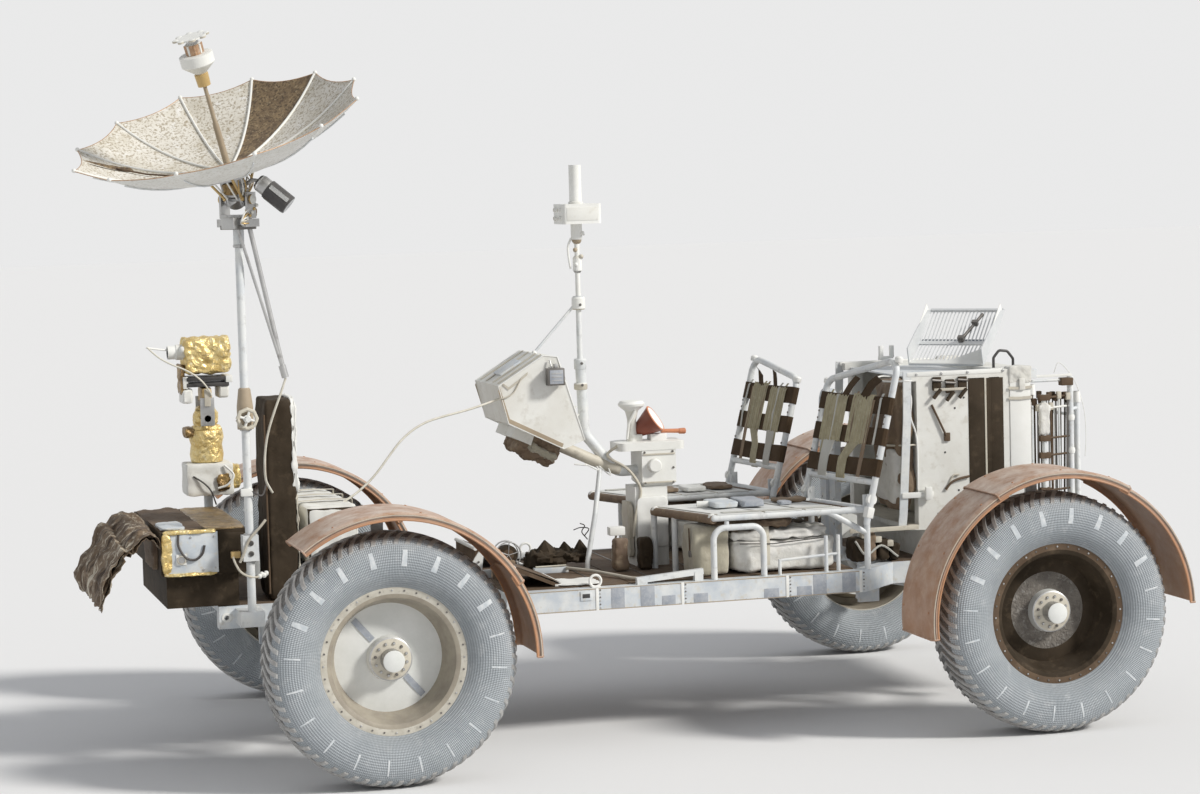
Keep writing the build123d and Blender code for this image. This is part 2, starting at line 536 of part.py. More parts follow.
def make_dish():
    mast = bar((MAST_X, MAST_Y, MAST_FOOT), (MAST_X, MAST_Y, MAST_TOP), MAST_R)
    foot = block((MAST_X - 40, MAST_X + 40), (END_HALF, MAST_Y + MAST_R), (MAST_FOOT, MAST_FOOT + 50))
    bracket = block((MAST_X - 26, MAST_X + 26), (MAST_Y - 24, MAST_Y + 24), (690, 775))
    crank = bar((MAST_X, MAST_Y, 1130), (MAST_X, MAST_Y, 1195), 26) + bar((MAST_X, MAST_Y, 1162), (MAST_X, MAST_Y + 62, 1162), 9)
    collar = bar((MAST_X, MAST_Y, MAST_TOP - 60), (MAST_X, MAST_Y, MAST_TOP), MAST_R + 4)
    save("dish_mast", mast + [foot, bracket, crank, collar])
    pivot = (MAST_X, MAST_Y, DISH_PIVOT_Z)
    turn = Pos(*pivot) * Rot(0, 0, DISH_AZ)
    low = MAST_TOP + SEAT_GAP - DISH_PIVOT_Z
    yoke = bar((0, 0, low), (0, 0, -50), 34) + block((-34, 34), (-62, 62), (low, low + 26))
    yoke += block((-22, 22), (-60, 60), (-62, -50))
    yoke += [block((-22, 22), (edge, edge + 8), (-60, 24)) for edge in (-60, 52)]
    yoke += bar((0, -60, 0), (0, 60, 0), PIVOT_R)
    yoke = turn * yoke
    grip_low = (1369, MAST_Y, 1302)
    hold_z = MAST_TOP + 12
    yoke += bar((MAST_X - 34, MAST_Y, hold_z), grip_low, 8) + bar((MAST_X + 12, MAST_Y + 34, hold_z), grip_low, 5)
    yoke += bar((1376, MAST_Y, 1330), (1366, MAST_Y, 1290), 12)
    save("dish_yoke", yoke)
    tilt = turn * Rot(0, 90 - DISH_EL, 0)
    plate = DISH_STANDOFF - 10
    clevis = block((-18, 18), (-40, 40), (-18, plate)) - bar((0, -60, 0), (0, 60, 0), PIVOT_R + SEAT_GAP)
    hub = Pos(0, 0, plate) * Cylinder(70, 16.7, align=(Align.CENTER, Align.CENTER, Align.MIN))
    stays = [strut((x * 16, y * 38, 10), (x * 52, y * 52, plate + 4), 9) for x in (1, -1) for y in (1, -1)]
    holder = strut((0, -36, 40), (-62, -62, 30), 16)
    bowl = [dish_gore().rotate(Axis.Z, DISH_PHASE + (number + 0.5) * 360 / DISH_RIBS) for number in range(DISH_RIBS)]
    bowl += [dish_rib().rotate(Axis.Z, DISH_PHASE + number * 360 / DISH_RIBS) for number in range(DISH_RIBS)]
    seat = Pos(0, 0, -DISH_T) * Cylinder(58, DISH_T + RIB_H + 2, align=(Align.CENTER, Align.CENTER, Align.MIN))
    reflector = Pos(0, 0, DISH_STANDOFF + 10) * (seat + bowl)
    save("dish_reflector", tilt * (clevis + hub + stays + holder), tilt * reflector)
    base = DISH_STANDOFF + 10 + RIB_H + 2 + SEAT_GAP
    tip = DISH_STANDOFF + FEED_LEN
    feed = [(0, base), (10, base), (10, base + 150), (7, base + 160), (7, tip - 172), (22, tip - 168), (22, tip - 128),
            (30, tip - 126), (30, tip - 96), (62, tip - 94), (62, tip - 62), (30, tip - 60), (30, tip - 24),
            (8, tip - 22), (8, tip - 6), (56, tip - 6), (56, tip), (0, tip)]
    save("dish_feed", tilt * revolve(Plane.XZ * make_face(Polyline(*feed, close=True)), Axis.Z))
    sight = tilt * bar((-70, -68, 21), (-128, -126, -54), 34)
    save("dish_sight", sight)


def make_camera():
    x, y, z = CAMERA_X, CAMERA_Y, CAMERA_PIVOT_Z
    low, high = CAMERA_FOOT
    base = block((x - 85, x + 85), (y - 70, y + 70), (low, high))
    base = chamfer(base.edges().filter_by(Axis.Y).group_by(Axis.Z)[-1], 22)
    staff = bar((x, y, FLOOR_TOP), (x, y, low), 16)
    save("camera_stand", base + staff)
    pan = bar((x, y, high + SEAT_GAP), (x, y, z - 50), 40)
    pan += bar((x, y - CAMERA_EAR_IN, z), (x, y + CAMERA_EAR_IN, z), 56)
    pan += bar((x, y - 62, z), (x, y + 62, z), 8)
    save("camera_pan_unit", pan)
    half = CAMERA_HALF
    cradle = block((x - 88, x + 70), (y - half, y + half), (z + 72, z + 150))
    cradle += block((x - 95, x + 95), (y - half, y + half), (z + 150, z + 162))
    ears = [block((x - 25, x + 25), (edge, edge + 8), (z - 25, z + 72)) for edge in (y - 62, y + 54)]
    hole = bar((x, y - 90, z), (x, y + 90, z), 8 + SEAT_GAP)
    body = block((x - 95, x + 95), (y - half, y + half), (z + 162, z + 286))
    body = chamfer(body.edges().filter_by(Axis.Y).group_by(Axis.Z)[-1], 16)
    lens = bar((x + 95, y, z + 232), (x + 128, y, z + 232), 34) + bar((x + 128, y, z + 232), (x + 150, y, z + 232), 26)
    rod = bar((x + 150, y + 20, z + 244), (x + 205, y + 40, z + 268), 4)
    save("camera", (cradle + ears + body + lens + rod) - hole)


def cord(name, points, radius):
    """A lead's tube: straight runs joined by arcs as large as the runs allow. Prints its arcs and length."""
    points = [Vector(*point) for point in points]
    arcs = []
    for before, point, after in zip(points, points[1:], points[2:]):
        one, two = point - before, after - point
        arcs.append(0.45 * min(one.length, two.length) / tan(radians(one.get_angle(two)) / 2))
    path = FilletPolyline(*points, radius=arcs)
    tube = sweep(Plane(origin=path @ 0, z_dir=path % 0) * Circle(radius), path=path)
    print(name, "arcs", [round(arc) for arc in arcs], "length", round(path.length, 1),
          "volume share", round(tube.volume / (pi * radius ** 2 * path.length), 4))
    save(name, tube)


# Each lead's route, from its upper end to its lower end
CONSOLE_LEAD = [(565.3, 150, 1163), (612, 158, 1148), (690, 168, 1128), (772, 178, 1113), (850, 186, 1094),
                (920, 192, 1050), (972, 196, 990), (1020, 198, 928), (1072, 199, 880), (1114, 200, 852),
                (1140, 200, 858 - 20)]
DISH_LEAD = [(1365.4, 450, 1287.6), (1380, 446, 1244), (1402, 438, 1186), (1424, 424, 1118), (1434, 408, 1058),
             (1437, 396, 1000), (1433, 379, 946), (1419, 361, 921), (1405, 344, 900)]
CAMERA_LEAD = [(1721, -308, 1365), (1696, -292, 1336), (1650, -279, 1306), (1596, -274, 1284), (1552, -272, 1256),
               (1519, -272, 1218), (1504, -280.5, 1186)]
LEAD_R = 4


def make_leads():
    cord("console_lead", CONSOLE_LEAD, LEAD_R)
    cord("dish_lead", DISH_LEAD, LEAD_R)
    cord("camera_lead", CAMERA_LEAD, 3)


def make_payload():
    front = block((1505, 1790), (-310, 380), (645, BOX_TOP)) + block((1530, 1770), (-280, 350), (FLOOR_TOP, 645))
    rear = block((1120, 1285), (-310, 330), (FLOOR_TOP, 834))
    save("battery_boxes", front, rear)
    drape = [(1790 + SEAT_GAP, 788), (1850, 822), (1905, 846), (1952, 770), (2010, 700), (2034, 640),
             (1996, 556), (1962, 575), (1950, 650), (1890, 742), (1790 + SEAT_GAP, 700)]
    save("dust_blanket", profile_y(drape, (60, 400)))
    panel = block((1314, 1424), (110, 340), (FLOOR_TOP, 1212))
    save("comms_panel", chamfer(panel.edges().filter_by(Axis.Y).group_by(Axis.Z)[-1], 12))
    make_pallet()
    make_rake()


def make_pallet():
    """The tool pallet: a deck on legs, two upright side plates, a tall cabinet behind, and posts."""
    low, high = PALLET_X
    deck = block((low, high), (-PALLET_HALF, PALLET_HALF), (DECK_Z, DECK_Z + 16))
    deck += [block((x, x + 30), (-PALLET_HALF, PALLET_HALF), (FLOOR_TOP, DECK_Z)) for x in (low + 60, high - 90)]
    cabinet = block(CABINET_X, (-PALLET_HALF, PALLET_HALF), (DECK_Z, PALLET_TOP))
    plates = [mirrored(block((-1102, -950), (PALLET_HALF - 8, PALLET_HALF), (DECK_Z, PALLET_TOP)), side) for side in (1, -1)]
    posts = [mirrored(block(x, (PALLET_HALF - 40, PALLET_HALF), (DECK_Z, PALLET_TOP)), side)
             for x in ((-1182, -1164), (-950, -905)) for side in (1, -1)]
    top = [mirrored(block((CABINET_X[1], high - 10), (PALLET_HALF - 40, PALLET_HALF), (PALLET_TOP - 26, PALLET_TOP)), side)
           for side in (1, -1)]
    back = block((-1150, -1138), (8 - PALLET_HALF, PALLET_HALF - 8), (DECK_Z, PALLET_TOP - 26))
    save("tool_pallet", deck + cabinet + plates + posts + top + back)
    handle = pipe([(-1242, 250, PALLET_TOP), (-1242, 250, 1230), (-1264, 250, 1256), (-1296, 250, 1252),
                   (-1318, 250, 1224), (-1318, 250, PALLET_TOP)], 5, 14)
    save("cabinet_handle", handle)
    bag = block((SEAT_GAP - 905, -800), (120, 330), (DECK_Z + 76, 1150))
    save("stowage_bag", bag)
    posts = [bar((x, y, FLOOR_TOP), (x, y, z), 11) for x, y, z in ((-1540, 250, 1150), (-1540, -250, 1150), (-1588, 200, 1090), (-1588, -200, 1090))]
    ties = [bar((-1588, side * 200, 1030), (-1540, side * 250, 1030), 6)
            + bar((low - SEAT_GAP, side * 250, 1138), (-1540, side * 250, 1138), 5) for side in (1, -1)]
    socket = bar((-1500, 0, FLOOR_TOP), (-1500, 0, FLOOR_TOP + 100), 18)
    socket -= bar((-1500, 0, FLOOR_TOP - 1), (-1500, 0, FLOOR_TOP + 101), 12.6)
    save("pallet_posts", posts[0] + posts[2] + ties[0], posts[1] + posts[3] + ties[1], socket)


def make_rake():
    """The tined scoop that leans on the pallet's top: bent tines, cross bars and two side walls."""
    width, length, turn, rise, depth = RAKE_SIZE
    tine = profile_y([(0, 0), (turn, 0), (length, rise), (length, rise + RAKE_TINE), (turn, RAKE_TINE), (0, RAKE_TINE)],
                     (-RAKE_TINE / 2, RAKE_TINE / 2))
    count = round(width / RAKE_PITCH)
    tines = [Pos(0, (number / count - 0.5) * width, 0) * tine for number in range(count + 1)]
    across = (-width / 2, width / 2)
    bars = [block((0, 9), across, (0, 8)), block((turn - 9, turn + 9), across, (0, RAKE_TINE + 2)),
            block((length - 10, length), across, (rise - 2, rise + 8))]
    outline = [(0, 0), (turn, 0), (length, rise), (length - 30, depth - 10), (turn, depth), (24, depth)]
    walls = [profile_y(outline, (edge - RAKE_TINE / 2, edge + RAKE_TINE / 2)) for edge in across]
    place = Pos(-1140, 50, PALLET_TOP + SEAT_GAP) * Rot(0, 0, 225) * Rot(0, -RAKE_LEAN, 0)
    save("rake", place * (tines[0] + tines[1:] + bars + walls))


os.makedirs("parts", exist_ok=True)
make_corners()
make_frame()
make_side_fittings()
make_footwell()
make_seats()
make_console()
make_dish()
make_camera()
make_payload()
make_leads()
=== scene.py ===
from math import cos, pi, radians, sin, sqrt

import bmesh
import bpy
from mathutils import Matrix, Vector, noise


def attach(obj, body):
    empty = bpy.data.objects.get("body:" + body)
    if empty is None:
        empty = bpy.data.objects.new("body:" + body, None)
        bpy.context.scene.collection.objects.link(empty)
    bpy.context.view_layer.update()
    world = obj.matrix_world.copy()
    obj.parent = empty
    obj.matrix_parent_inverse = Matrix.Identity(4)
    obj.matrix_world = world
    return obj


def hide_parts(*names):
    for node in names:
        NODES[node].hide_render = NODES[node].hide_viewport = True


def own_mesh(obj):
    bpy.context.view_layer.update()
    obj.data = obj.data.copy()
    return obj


# Looks of a two-seat planetary rover. Points are in millimetres, with X counted from the middle of the
# wheelbase as in the part's source, and metres() turns them into a point of the frame.
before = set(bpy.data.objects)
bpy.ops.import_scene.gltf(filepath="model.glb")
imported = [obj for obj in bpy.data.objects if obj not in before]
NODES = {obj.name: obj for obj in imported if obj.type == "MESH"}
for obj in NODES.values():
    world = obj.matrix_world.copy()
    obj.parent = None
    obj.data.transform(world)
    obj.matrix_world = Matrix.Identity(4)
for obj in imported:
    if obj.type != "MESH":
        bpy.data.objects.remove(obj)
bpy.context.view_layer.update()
CENTRE_X = 208          # the frame's origin is this far ahead of the wheelbase's middle
FLOOR = 532             # top of the floor panels
DECK = FLOOR + 1        # loose things lie this high, clear of the floor panels
GAP = 0.4               # a thin trim stands this far off what carries it
LEFT_RIGHT = {"left": 1, "right": -1}
FRONT_REAR = {"front": 1, "rear": -1}


def metres(x, y, z):
    """The point of the frame that a point of the part's source is."""
    return Vector(((x - CENTRE_X) / 1000, y / 1000, z / 1000))


def sided(sign, low, high):
    """Lows and highs of a width that lies on the side of sign, low and high from the middle."""
    return tuple(sorted((sign * low, sign * high)))


def turned(degrees, axis, size=4):
    """A turn about an axis through the origin."""
    return Matrix.Rotation(radians(degrees), size, axis)


def hoop(centre, radius, count):
    """A closed ring of points in the upright plane that runs fore and aft."""
    x, y, z = centre
    angles = [2 * pi * i / count for i in range(count + 1)]
    return [(x + radius * cos(a), y, z + radius * sin(a)) for a in angles]


# Camera: place, turn and lens
CAM_PLACE = (3044, 10217.5, 1957.6)
CAM_TURN = (-105.7477, -4.4152, -1.5699)        # yaw, pitch and roll in degrees
FOCAL_PIXELS = 2993.8
PHOTO_WIDTH = 1200      # pixels
SENSOR_WIDTH = 36       # millimetres


def make_camera():
    """The camera of the photograph, as fitted to the wheels and other known points."""
    yaw, pitch, roll = (radians(a) for a in CAM_TURN)
    ahead = Vector((cos(pitch) * cos(yaw), cos(pitch) * sin(yaw), sin(pitch)))
    right = ahead.cross(Vector((0, 0, 1))).normalized()
    up = right.cross(ahead)
    right, up = cos(roll) * right + sin(roll) * up, cos(roll) * up - sin(roll) * right
    axes = Matrix((right, up, -ahead)).transposed()
    camera = bpy.data.objects.new("camera", bpy.data.cameras.new("camera"))
    camera.data.lens = FOCAL_PIXELS / PHOTO_WIDTH * SENSOR_WIDTH
    camera.data.sensor_width = SENSOR_WIDTH
    camera.matrix_world = Matrix.Translation(metres(*CAM_PLACE)) @ axes.to_4x4()
    bpy.context.scene.collection.objects.link(camera)
    bpy.context.scene.camera = camera


make_camera()


# Materials
def tree_of(name):
    """A new material, its node tree and its shader."""
    material = bpy.data.materials.new(name)
    material.use_nodes = True
    return material, material.node_tree, material.node_tree.nodes["Principled BSDF"]


def node(tree, kind, values=None, **settings):
    """A new node with these settings, and a value or a link for each input named in values."""
    made = tree.nodes.new(kind)
    for key, value in settings.items():
        setattr(made, key, value)
    for key, value in (values or {}).items():
        if isinstance(value, bpy.types.NodeSocket):
            tree.links.new(value, made.inputs[key])
        else:
            made.inputs[key].default_value = value
    return made


def mix(tree, share, one, other):
    """A colour between two others."""
    made = node(tree, "ShaderNodeMix", data_type="RGBA")
    for socket, value in ((0, share), (6, one), (7, other)):
        if isinstance(value, bpy.types.NodeSocket):
            tree.links.new(value, made.inputs[socket])
        else:
            made.inputs[socket].default_value = value if socket == 0 else (*value[:3], 1)
    return made.outputs[2]


def ramp(tree, fac, low, high):
    """From 0 where fac is low or less to 1 where it is high or more."""
    made = node(tree, "ShaderNodeMapRange", {"Value": fac, "From Min": low, "From Max": high})
    return made.outputs[0]


def maths(tree, kind, one, other=0.0):
    return node(tree, "ShaderNodeMath", {0: one, 1: other}, operation=kind).outputs[0]


def noise_of(tree, where, scale, detail=5, rough=0.6, distortion=0.0):
    """Soft noise from 0 to 1 over the places in where."""
    made = node(tree, "ShaderNodeTexNoise", {"Vector": where, "Scale": scale, "Detail": detail,
                                             "Roughness": rough, "Distortion": distortion})
    return made.outputs["Fac"]


def wave_of(tree, where, period, direction="X", wobble=0.0):
    """Bands with a period in metres along one axis of where."""
    made = node(tree, "ShaderNodeTexWave", {"Vector": where, "Scale": pi / 10 / period,
                                            "Distortion": wobble}, bands_direction=direction)
    return made.outputs["Fac"]


DUST = (0.34, 0.32, 0.30)
BLOTCH_EDGE = (0.38, 0.62)      # where one colour gives way to the next, on a noise from 0 to 1
STAIN_EDGE = (0.55, 0.75)
DUST_EDGE = (0.35, 0.72)
GRAIN_DEPTH = 0.0006
FINISHES = {}


def finish(key, name, colours, rough=(0.45, 0.65), metallic=0.0, scale=7, dust=0.35, bump=0.25, grain=180,
           relief=None, coat=0.0, sheen=0.0, dust_colour=DUST, tint=None, shine=0.5):
    """A surface with blotches between its colours, dust on what faces up, fine grain and a relief."""
    material, tree, shader = tree_of(name)
    where = node(tree, "ShaderNodeTexCoord")
    place, uv = where.outputs["Object"], where.outputs["UV"]
    blotch = noise_of(tree, place, scale, 6, 0.62)
    fine = noise_of(tree, place, grain, 3, 0.5)
    colour = mix(tree, ramp(tree, blotch, *BLOTCH_EDGE), colours[0], colours[1])
    if len(colours) > 2:
        stain = ramp(tree, noise_of(tree, place, scale * 3.7, 4), *STAIN_EDGE)
        colour = mix(tree, stain, colour, colours[2])
    if tint:
        colour = tint(tree, place, uv, colour)
    if dust:
        facing = node(tree, "ShaderNodeNewGeometry").outputs["Normal"]
        up = node(tree, "ShaderNodeSeparateXYZ", {0: facing}).outputs[2]
        lying = maths(tree, "ADD", maths(tree, "MULTIPLY", ramp(tree, up, 0.1, 1.0), 0.75), 0.25)
        patchy = ramp(tree, noise_of(tree, place, scale * 1.9 + 3, 7, 0.7), *DUST_EDGE)
        share = maths(tree, "MULTIPLY", maths(tree, "MULTIPLY", lying, patchy), dust)
        colour = mix(tree, share, colour, dust_colour)
    tree.links.new(colour, shader.inputs["Base Color"])
    rough_map = node(tree, "ShaderNodeMapRange", {"Value": fine, "To Min": rough[0], "To Max": rough[1]})
    tree.links.new(rough_map.outputs[0], shader.inputs["Roughness"])
    normal = node(tree, "ShaderNodeBump", {"Height": fine, "Strength": bump,
                                           "Distance": GRAIN_DEPTH}).outputs[0]
    if relief:
        height, strength, depth = relief(tree, place, uv)
        normal = node(tree, "ShaderNodeBump", {"Height": height, "Strength": strength, "Distance": depth,
                                               "Normal": normal}).outputs[0]
    tree.links.new(normal, shader.inputs["Normal"])
    for key_name, value in (("Metallic", metallic), ("Specular IOR Level", shine), ("Coat Weight", coat),
                            ("Sheen Weight", sheen)):
        shader.inputs[key_name].default_value = value
    FINISHES[key] = material


SPECK_SCALE = 110
SPECK_EDGE = (0.50, 0.62)
STREAK_STRETCH = (42, 6, 1)
CREASE_HIGHLIGHT_EDGE = (0.56, 0.64)
CREASE_SHADE_EDGE = (0.38, 0.48)
CLOTH_THREADS = (0.003, 0.003)      # spacings in metres
TYRE_WIRES = (0.0062, 0.0085)
TYRE_RELIEF = (0.0016, 0.8)         # depth in metres, and strength


def crinkle(scale, depth, strength=0.9):
    """Creased foil or cloth."""
    def relief(tree, place, uv):
        cells = node(tree, "ShaderNodeTexVoronoi", {"Vector": place, "Scale": scale},
                     feature="DISTANCE_TO_EDGE")
        folds = noise_of(tree, place, scale * 0.8, 5, 0.55, 1.6)
        creases = maths(tree, "MULTIPLY", cells.outputs["Distance"], 0.7)
        return maths(tree, "ADD", creases, folds), strength, depth
    return relief


def weave(across, along, depth=0.0006, strength=0.7):
    """Two sets of threads, at these spacings in metres along U and V."""
    def relief(tree, place, uv):
        threads = wave_of(tree, uv, across, "X"), wave_of(tree, uv, along, "Y")
        return maths(tree, "ADD", *threads), strength, depth
    return relief


def ribs(period, depth, strength=0.8):
    """Ribs along V, with a period in metres."""
    def relief(tree, place, uv):
        return wave_of(tree, uv, period, "X", 0.4), strength, depth
    return relief


def mesh_tint(across, along, dark, share):
    """Darker gaps between the threads of a mesh."""
    def tint(tree, place, uv, colour):
        lines = maths(tree, "MULTIPLY", wave_of(tree, uv, across, "X"), wave_of(tree, uv, along, "Y"))
        gaps = maths(tree, "MULTIPLY", maths(tree, "SUBTRACT", 1.0, lines), share)
        return mix(tree, gaps, colour, dark)
    return tint


def speckle(dark, share):
    """Fine dark specks."""
    def tint(tree, place, uv, colour):
        specks = ramp(tree, noise_of(tree, place, SPECK_SCALE, 2, 0.7), *SPECK_EDGE)
        return mix(tree, maths(tree, "MULTIPLY", specks, share), colour, dark)
    return tint


def crease_highlights_and_shade(pale, dark):
    """Painted highlights on the ridges and painted shade in the creases that run along V."""
    def tint(tree, place, uv, colour):
        long = node(tree, "ShaderNodeVectorMath", {0: uv, 1: STREAK_STRETCH},
                    operation="MULTIPLY").outputs[0]
        lines = noise_of(tree, long, 1.0, 6, 0.65, 0.8)
        high = ramp(tree, lines, *CREASE_HIGHLIGHT_EDGE)
        return mix(tree, high, mix(tree, ramp(tree, lines, *CREASE_SHADE_EDGE), dark, colour), pale)
    return tint


WHITE = (0.80, 0.80, 0.76)
FROST = (0.70, 0.72, 0.72)
TAN = (0.42, 0.34, 0.24)

finish("frame", "frame_white", [FROST, (0.52, 0.57, 0.62), (0.60, 0.57, 0.50)], scale=12, dust=0.3)
finish("patch", "patch_grey", [(0.30, 0.33, 0.38), (0.40, 0.42, 0.45), (0.48, 0.49, 0.50)], scale=40,
       dust=0.2)
finish("white", "paint_white", [WHITE, (0.72, 0.71, 0.66), (0.62, 0.60, 0.54)], dust=0.25)
finish("bright", "paint_bright", [(0.84, 0.84, 0.81), (0.78, 0.78, 0.74)], dust=0.12)
finish("cream", "cream", [(0.62, 0.58, 0.48), (0.52, 0.48, 0.40), (0.40, 0.36, 0.29)], dust=0.3)
finish("tube", "tube_white", [(0.76, 0.77, 0.75), (0.64, 0.67, 0.69), (0.52, 0.53, 0.52)], rough=(0.3, 0.5),
       dust=0.3, scale=11)
finish("metal", "metal", [(0.52, 0.52, 0.51), (0.42, 0.42, 0.42), (0.30, 0.29, 0.28)], rough=(0.3, 0.5),
       metallic=0.8, dust=0.35)
finish("steel", "steel_dark", [(0.20, 0.19, 0.18), (0.12, 0.11, 0.10)], rough=(0.35, 0.6), metallic=0.6,
       dust=0.35)
finish("black", "black", [(0.030, 0.028, 0.030), (0.055, 0.052, 0.050)], rough=(0.3, 0.5), dust=0.15)
finish("brown", "brown_dark", [(0.085, 0.055, 0.034), (0.125, 0.084, 0.052), (0.17, 0.12, 0.08)],
       rough=(0.6, 0.85), dust=0.15, shine=0.2)
finish("shell", "fender_shell", [(0.40, 0.215, 0.12), (0.33, 0.175, 0.10), (0.46, 0.29, 0.185)],
       rough=(0.4, 0.6), scale=5, dust=1.25, dust_colour=(0.62, 0.52, 0.44), grain=140)
finish("shell_edge", "fender_edge", [(0.52, 0.26, 0.13), (0.42, 0.22, 0.12)], dust=0.2)
finish("band", "band_brown", [(0.055, 0.036, 0.021), (0.085, 0.057, 0.034)], rough=(0.75, 0.95), dust=0.08,
       shine=0.1, relief=weave(*CLOTH_THREADS))
finish("strap", "strap_beige", [(0.38, 0.34, 0.22), (0.30, 0.265, 0.165), (0.46, 0.42, 0.29)],
       rough=(0.7, 0.9), scale=16, dust=0.15, sheen=0.1, relief=ribs(0.0105, 0.002))
finish("strap_pale", "strap_pale", [(0.56, 0.56, 0.52), (0.46, 0.45, 0.40)], rough=(0.7, 0.9), dust=0.2,
       sheen=0.2, relief=weave(*CLOTH_THREADS))
finish("cloth", "cloth_white", [(0.74, 0.73, 0.70), (0.64, 0.63, 0.58), (0.55, 0.52, 0.46)],
       rough=(0.75, 0.95), dust=0.35, sheen=0.3, relief=crinkle(38, 0.004, 0.6))
finish("panel", "cloth_panel", [(0.76, 0.76, 0.74), (0.68, 0.69, 0.67)], rough=(0.7, 0.9), dust=0.25,
       relief=weave(0.004, 0.004, 0.0004))
finish("bag", "bag_beige", [(0.42, 0.39, 0.30), (0.34, 0.31, 0.24), (0.50, 0.46, 0.37)], rough=(0.75, 0.95),
       dust=0.3, sheen=0.3, relief=crinkle(26, 0.004, 0.6))
finish("bag_brown", "bag_brown", [(0.23, 0.165, 0.105), (0.16, 0.11, 0.075), (0.32, 0.25, 0.17)],
       rough=(0.7, 0.9), dust=0.2, relief=crinkle(20, 0.005, 0.7))
finish("gold", "gold_foil", [(0.80, 0.64, 0.30), (0.66, 0.47, 0.17), (0.90, 0.82, 0.56)], rough=(0.25, 0.42),
       metallic=0.5, scale=20, dust=0.06, relief=crinkle(30, 0.010))
# A darker copy of the gold foil, as painted shade.
finish("gold_shaded", "gold_foil_painted_shade", [(0.34, 0.22, 0.08), (0.15, 0.09, 0.04), (0.60, 0.46, 0.22)],
       rough=(0.25, 0.45), metallic=0.5, scale=18, dust=0.08, relief=crinkle(24, 0.01))
# The blanket's pale blotches and pale crease lines are painted highlights, and its darkest crease lines
# painted shade.
finish("blanket", "blanket", [(0.13, 0.088, 0.055), (0.20, 0.145, 0.095), (0.60, 0.54, 0.43)],
       rough=(0.45, 0.7), scale=13, dust=0.05, shine=0.25, relief=crinkle(22, 0.012),
       tint=crease_highlights_and_shade((0.62, 0.56, 0.45), (0.050, 0.032, 0.020)))
finish("mesh", "dish_mesh", [(0.76, 0.73, 0.66), (0.62, 0.58, 0.49), (0.84, 0.83, 0.80)], rough=(0.5, 0.7),
       scale=9, dust=0.0, grain=420, bump=0.6, tint=speckle((0.33, 0.27, 0.18), 0.85))
finish("mesh_out", "dish_mesh_out", [(0.86, 0.86, 0.83), (0.76, 0.76, 0.72)], rough=(0.5, 0.7), scale=9,
       dust=0.0, tint=speckle((0.55, 0.52, 0.45), 0.5))
finish("mesh_dark", "dish_mesh_dark", [(0.27, 0.19, 0.10), (0.13, 0.085, 0.045), (0.42, 0.33, 0.20)],
       rough=(0.5, 0.7), scale=24, dust=0.0, grain=420, bump=0.6, tint=speckle((0.05, 0.03, 0.015), 0.85))
finish("tyre", "tyre_mesh", [(0.50, 0.54, 0.57), (0.40, 0.44, 0.47), (0.60, 0.63, 0.65)], rough=(0.45, 0.7),
       metallic=0.15, scale=8, dust=0.3, dust_colour=(0.50, 0.50, 0.49),
       relief=weave(*TYRE_WIRES, *TYRE_RELIEF), tint=mesh_tint(*TYRE_WIRES, (0.19, 0.205, 0.22), 0.6))
finish("tyre_strip", "tyre_strip", [(0.66, 0.68, 0.69), (0.50, 0.54, 0.57)], scale=60, dust=0.05)
finish("cleat", "cleat", [(0.46, 0.46, 0.45), (0.34, 0.33, 0.32), (0.56, 0.56, 0.55)], rough=(0.4, 0.6),
       metallic=0.5, scale=30, dust=0.4)
finish("tread", "tread_mesh", [(0.12, 0.12, 0.12), (0.17, 0.165, 0.16)], rough=(0.5, 0.8), metallic=0.3,
       dust=0.45, relief=weave(*TYRE_WIRES, *TYRE_RELIEF))
finish("disc", "disc_white", [(0.74, 0.745, 0.72), (0.66, 0.67, 0.64)], dust=0.18, scale=9)
finish("ring", "ring_beige", [(0.56, 0.53, 0.46), (0.46, 0.43, 0.36), (0.35, 0.32, 0.27)], dust=0.3,
       scale=20)
# Tan of the rims' inner wall: painted shade in the drum.
finish("drum", "drum", [(0.36, 0.32, 0.25), (0.27, 0.235, 0.185)], dust=0.25, scale=14)
finish("soil", "disc_soiled", [(0.20, 0.18, 0.155), (0.12, 0.105, 0.09), (0.33, 0.315, 0.29)],
       rough=(0.8, 0.95), scale=14, dust=0.35, relief=crinkle(60, 0.006, 0.9))
# Near-black: painted shade on shaded faces, undersides and gaps, and the own dark colour of some bundles and
# tools.
finish("cavity", "near_black_and_painted_shade", [(0.032, 0.023, 0.014), (0.055, 0.040, 0.026), (0.085, 0.062, 0.04)],
       rough=(0.6, 0.85), dust=0.05, shine=0.12)
finish("orange", "peg_orange", [(0.62, 0.23, 0.10), (0.52, 0.20, 0.10)], dust=0.1)
finish("red_brown", "horn_red", [(0.24, 0.055, 0.025), (0.17, 0.04, 0.022)], rough=(0.3, 0.5), dust=0.12)
finish("tan", "tan", [TAN, (0.34, 0.27, 0.185)], dust=0.2)
finish("copper", "copper", [(0.52, 0.33, 0.20), (0.40, 0.25, 0.15), (0.62, 0.50, 0.40)], rough=(0.3, 0.5),
       metallic=0.5, dust=0.05, scale=40)
finish("amber", "amber", [(0.62, 0.44, 0.19), (0.52, 0.36, 0.15)], rough=(0.35, 0.5), metallic=0.3,
       dust=0.05)
finish("mirror", "mirror", [(0.78, 0.79, 0.80), (0.70, 0.71, 0.72)], rough=(0.08, 0.16), metallic=0.9,
       dust=0.05)
finish("lead", "lead_white", [(0.74, 0.71, 0.62), (0.62, 0.59, 0.50)], dust=0.1, scale=30)
finish("wire", "wire_dark", [(0.045, 0.04, 0.04), (0.07, 0.06, 0.055)], dust=0.05)
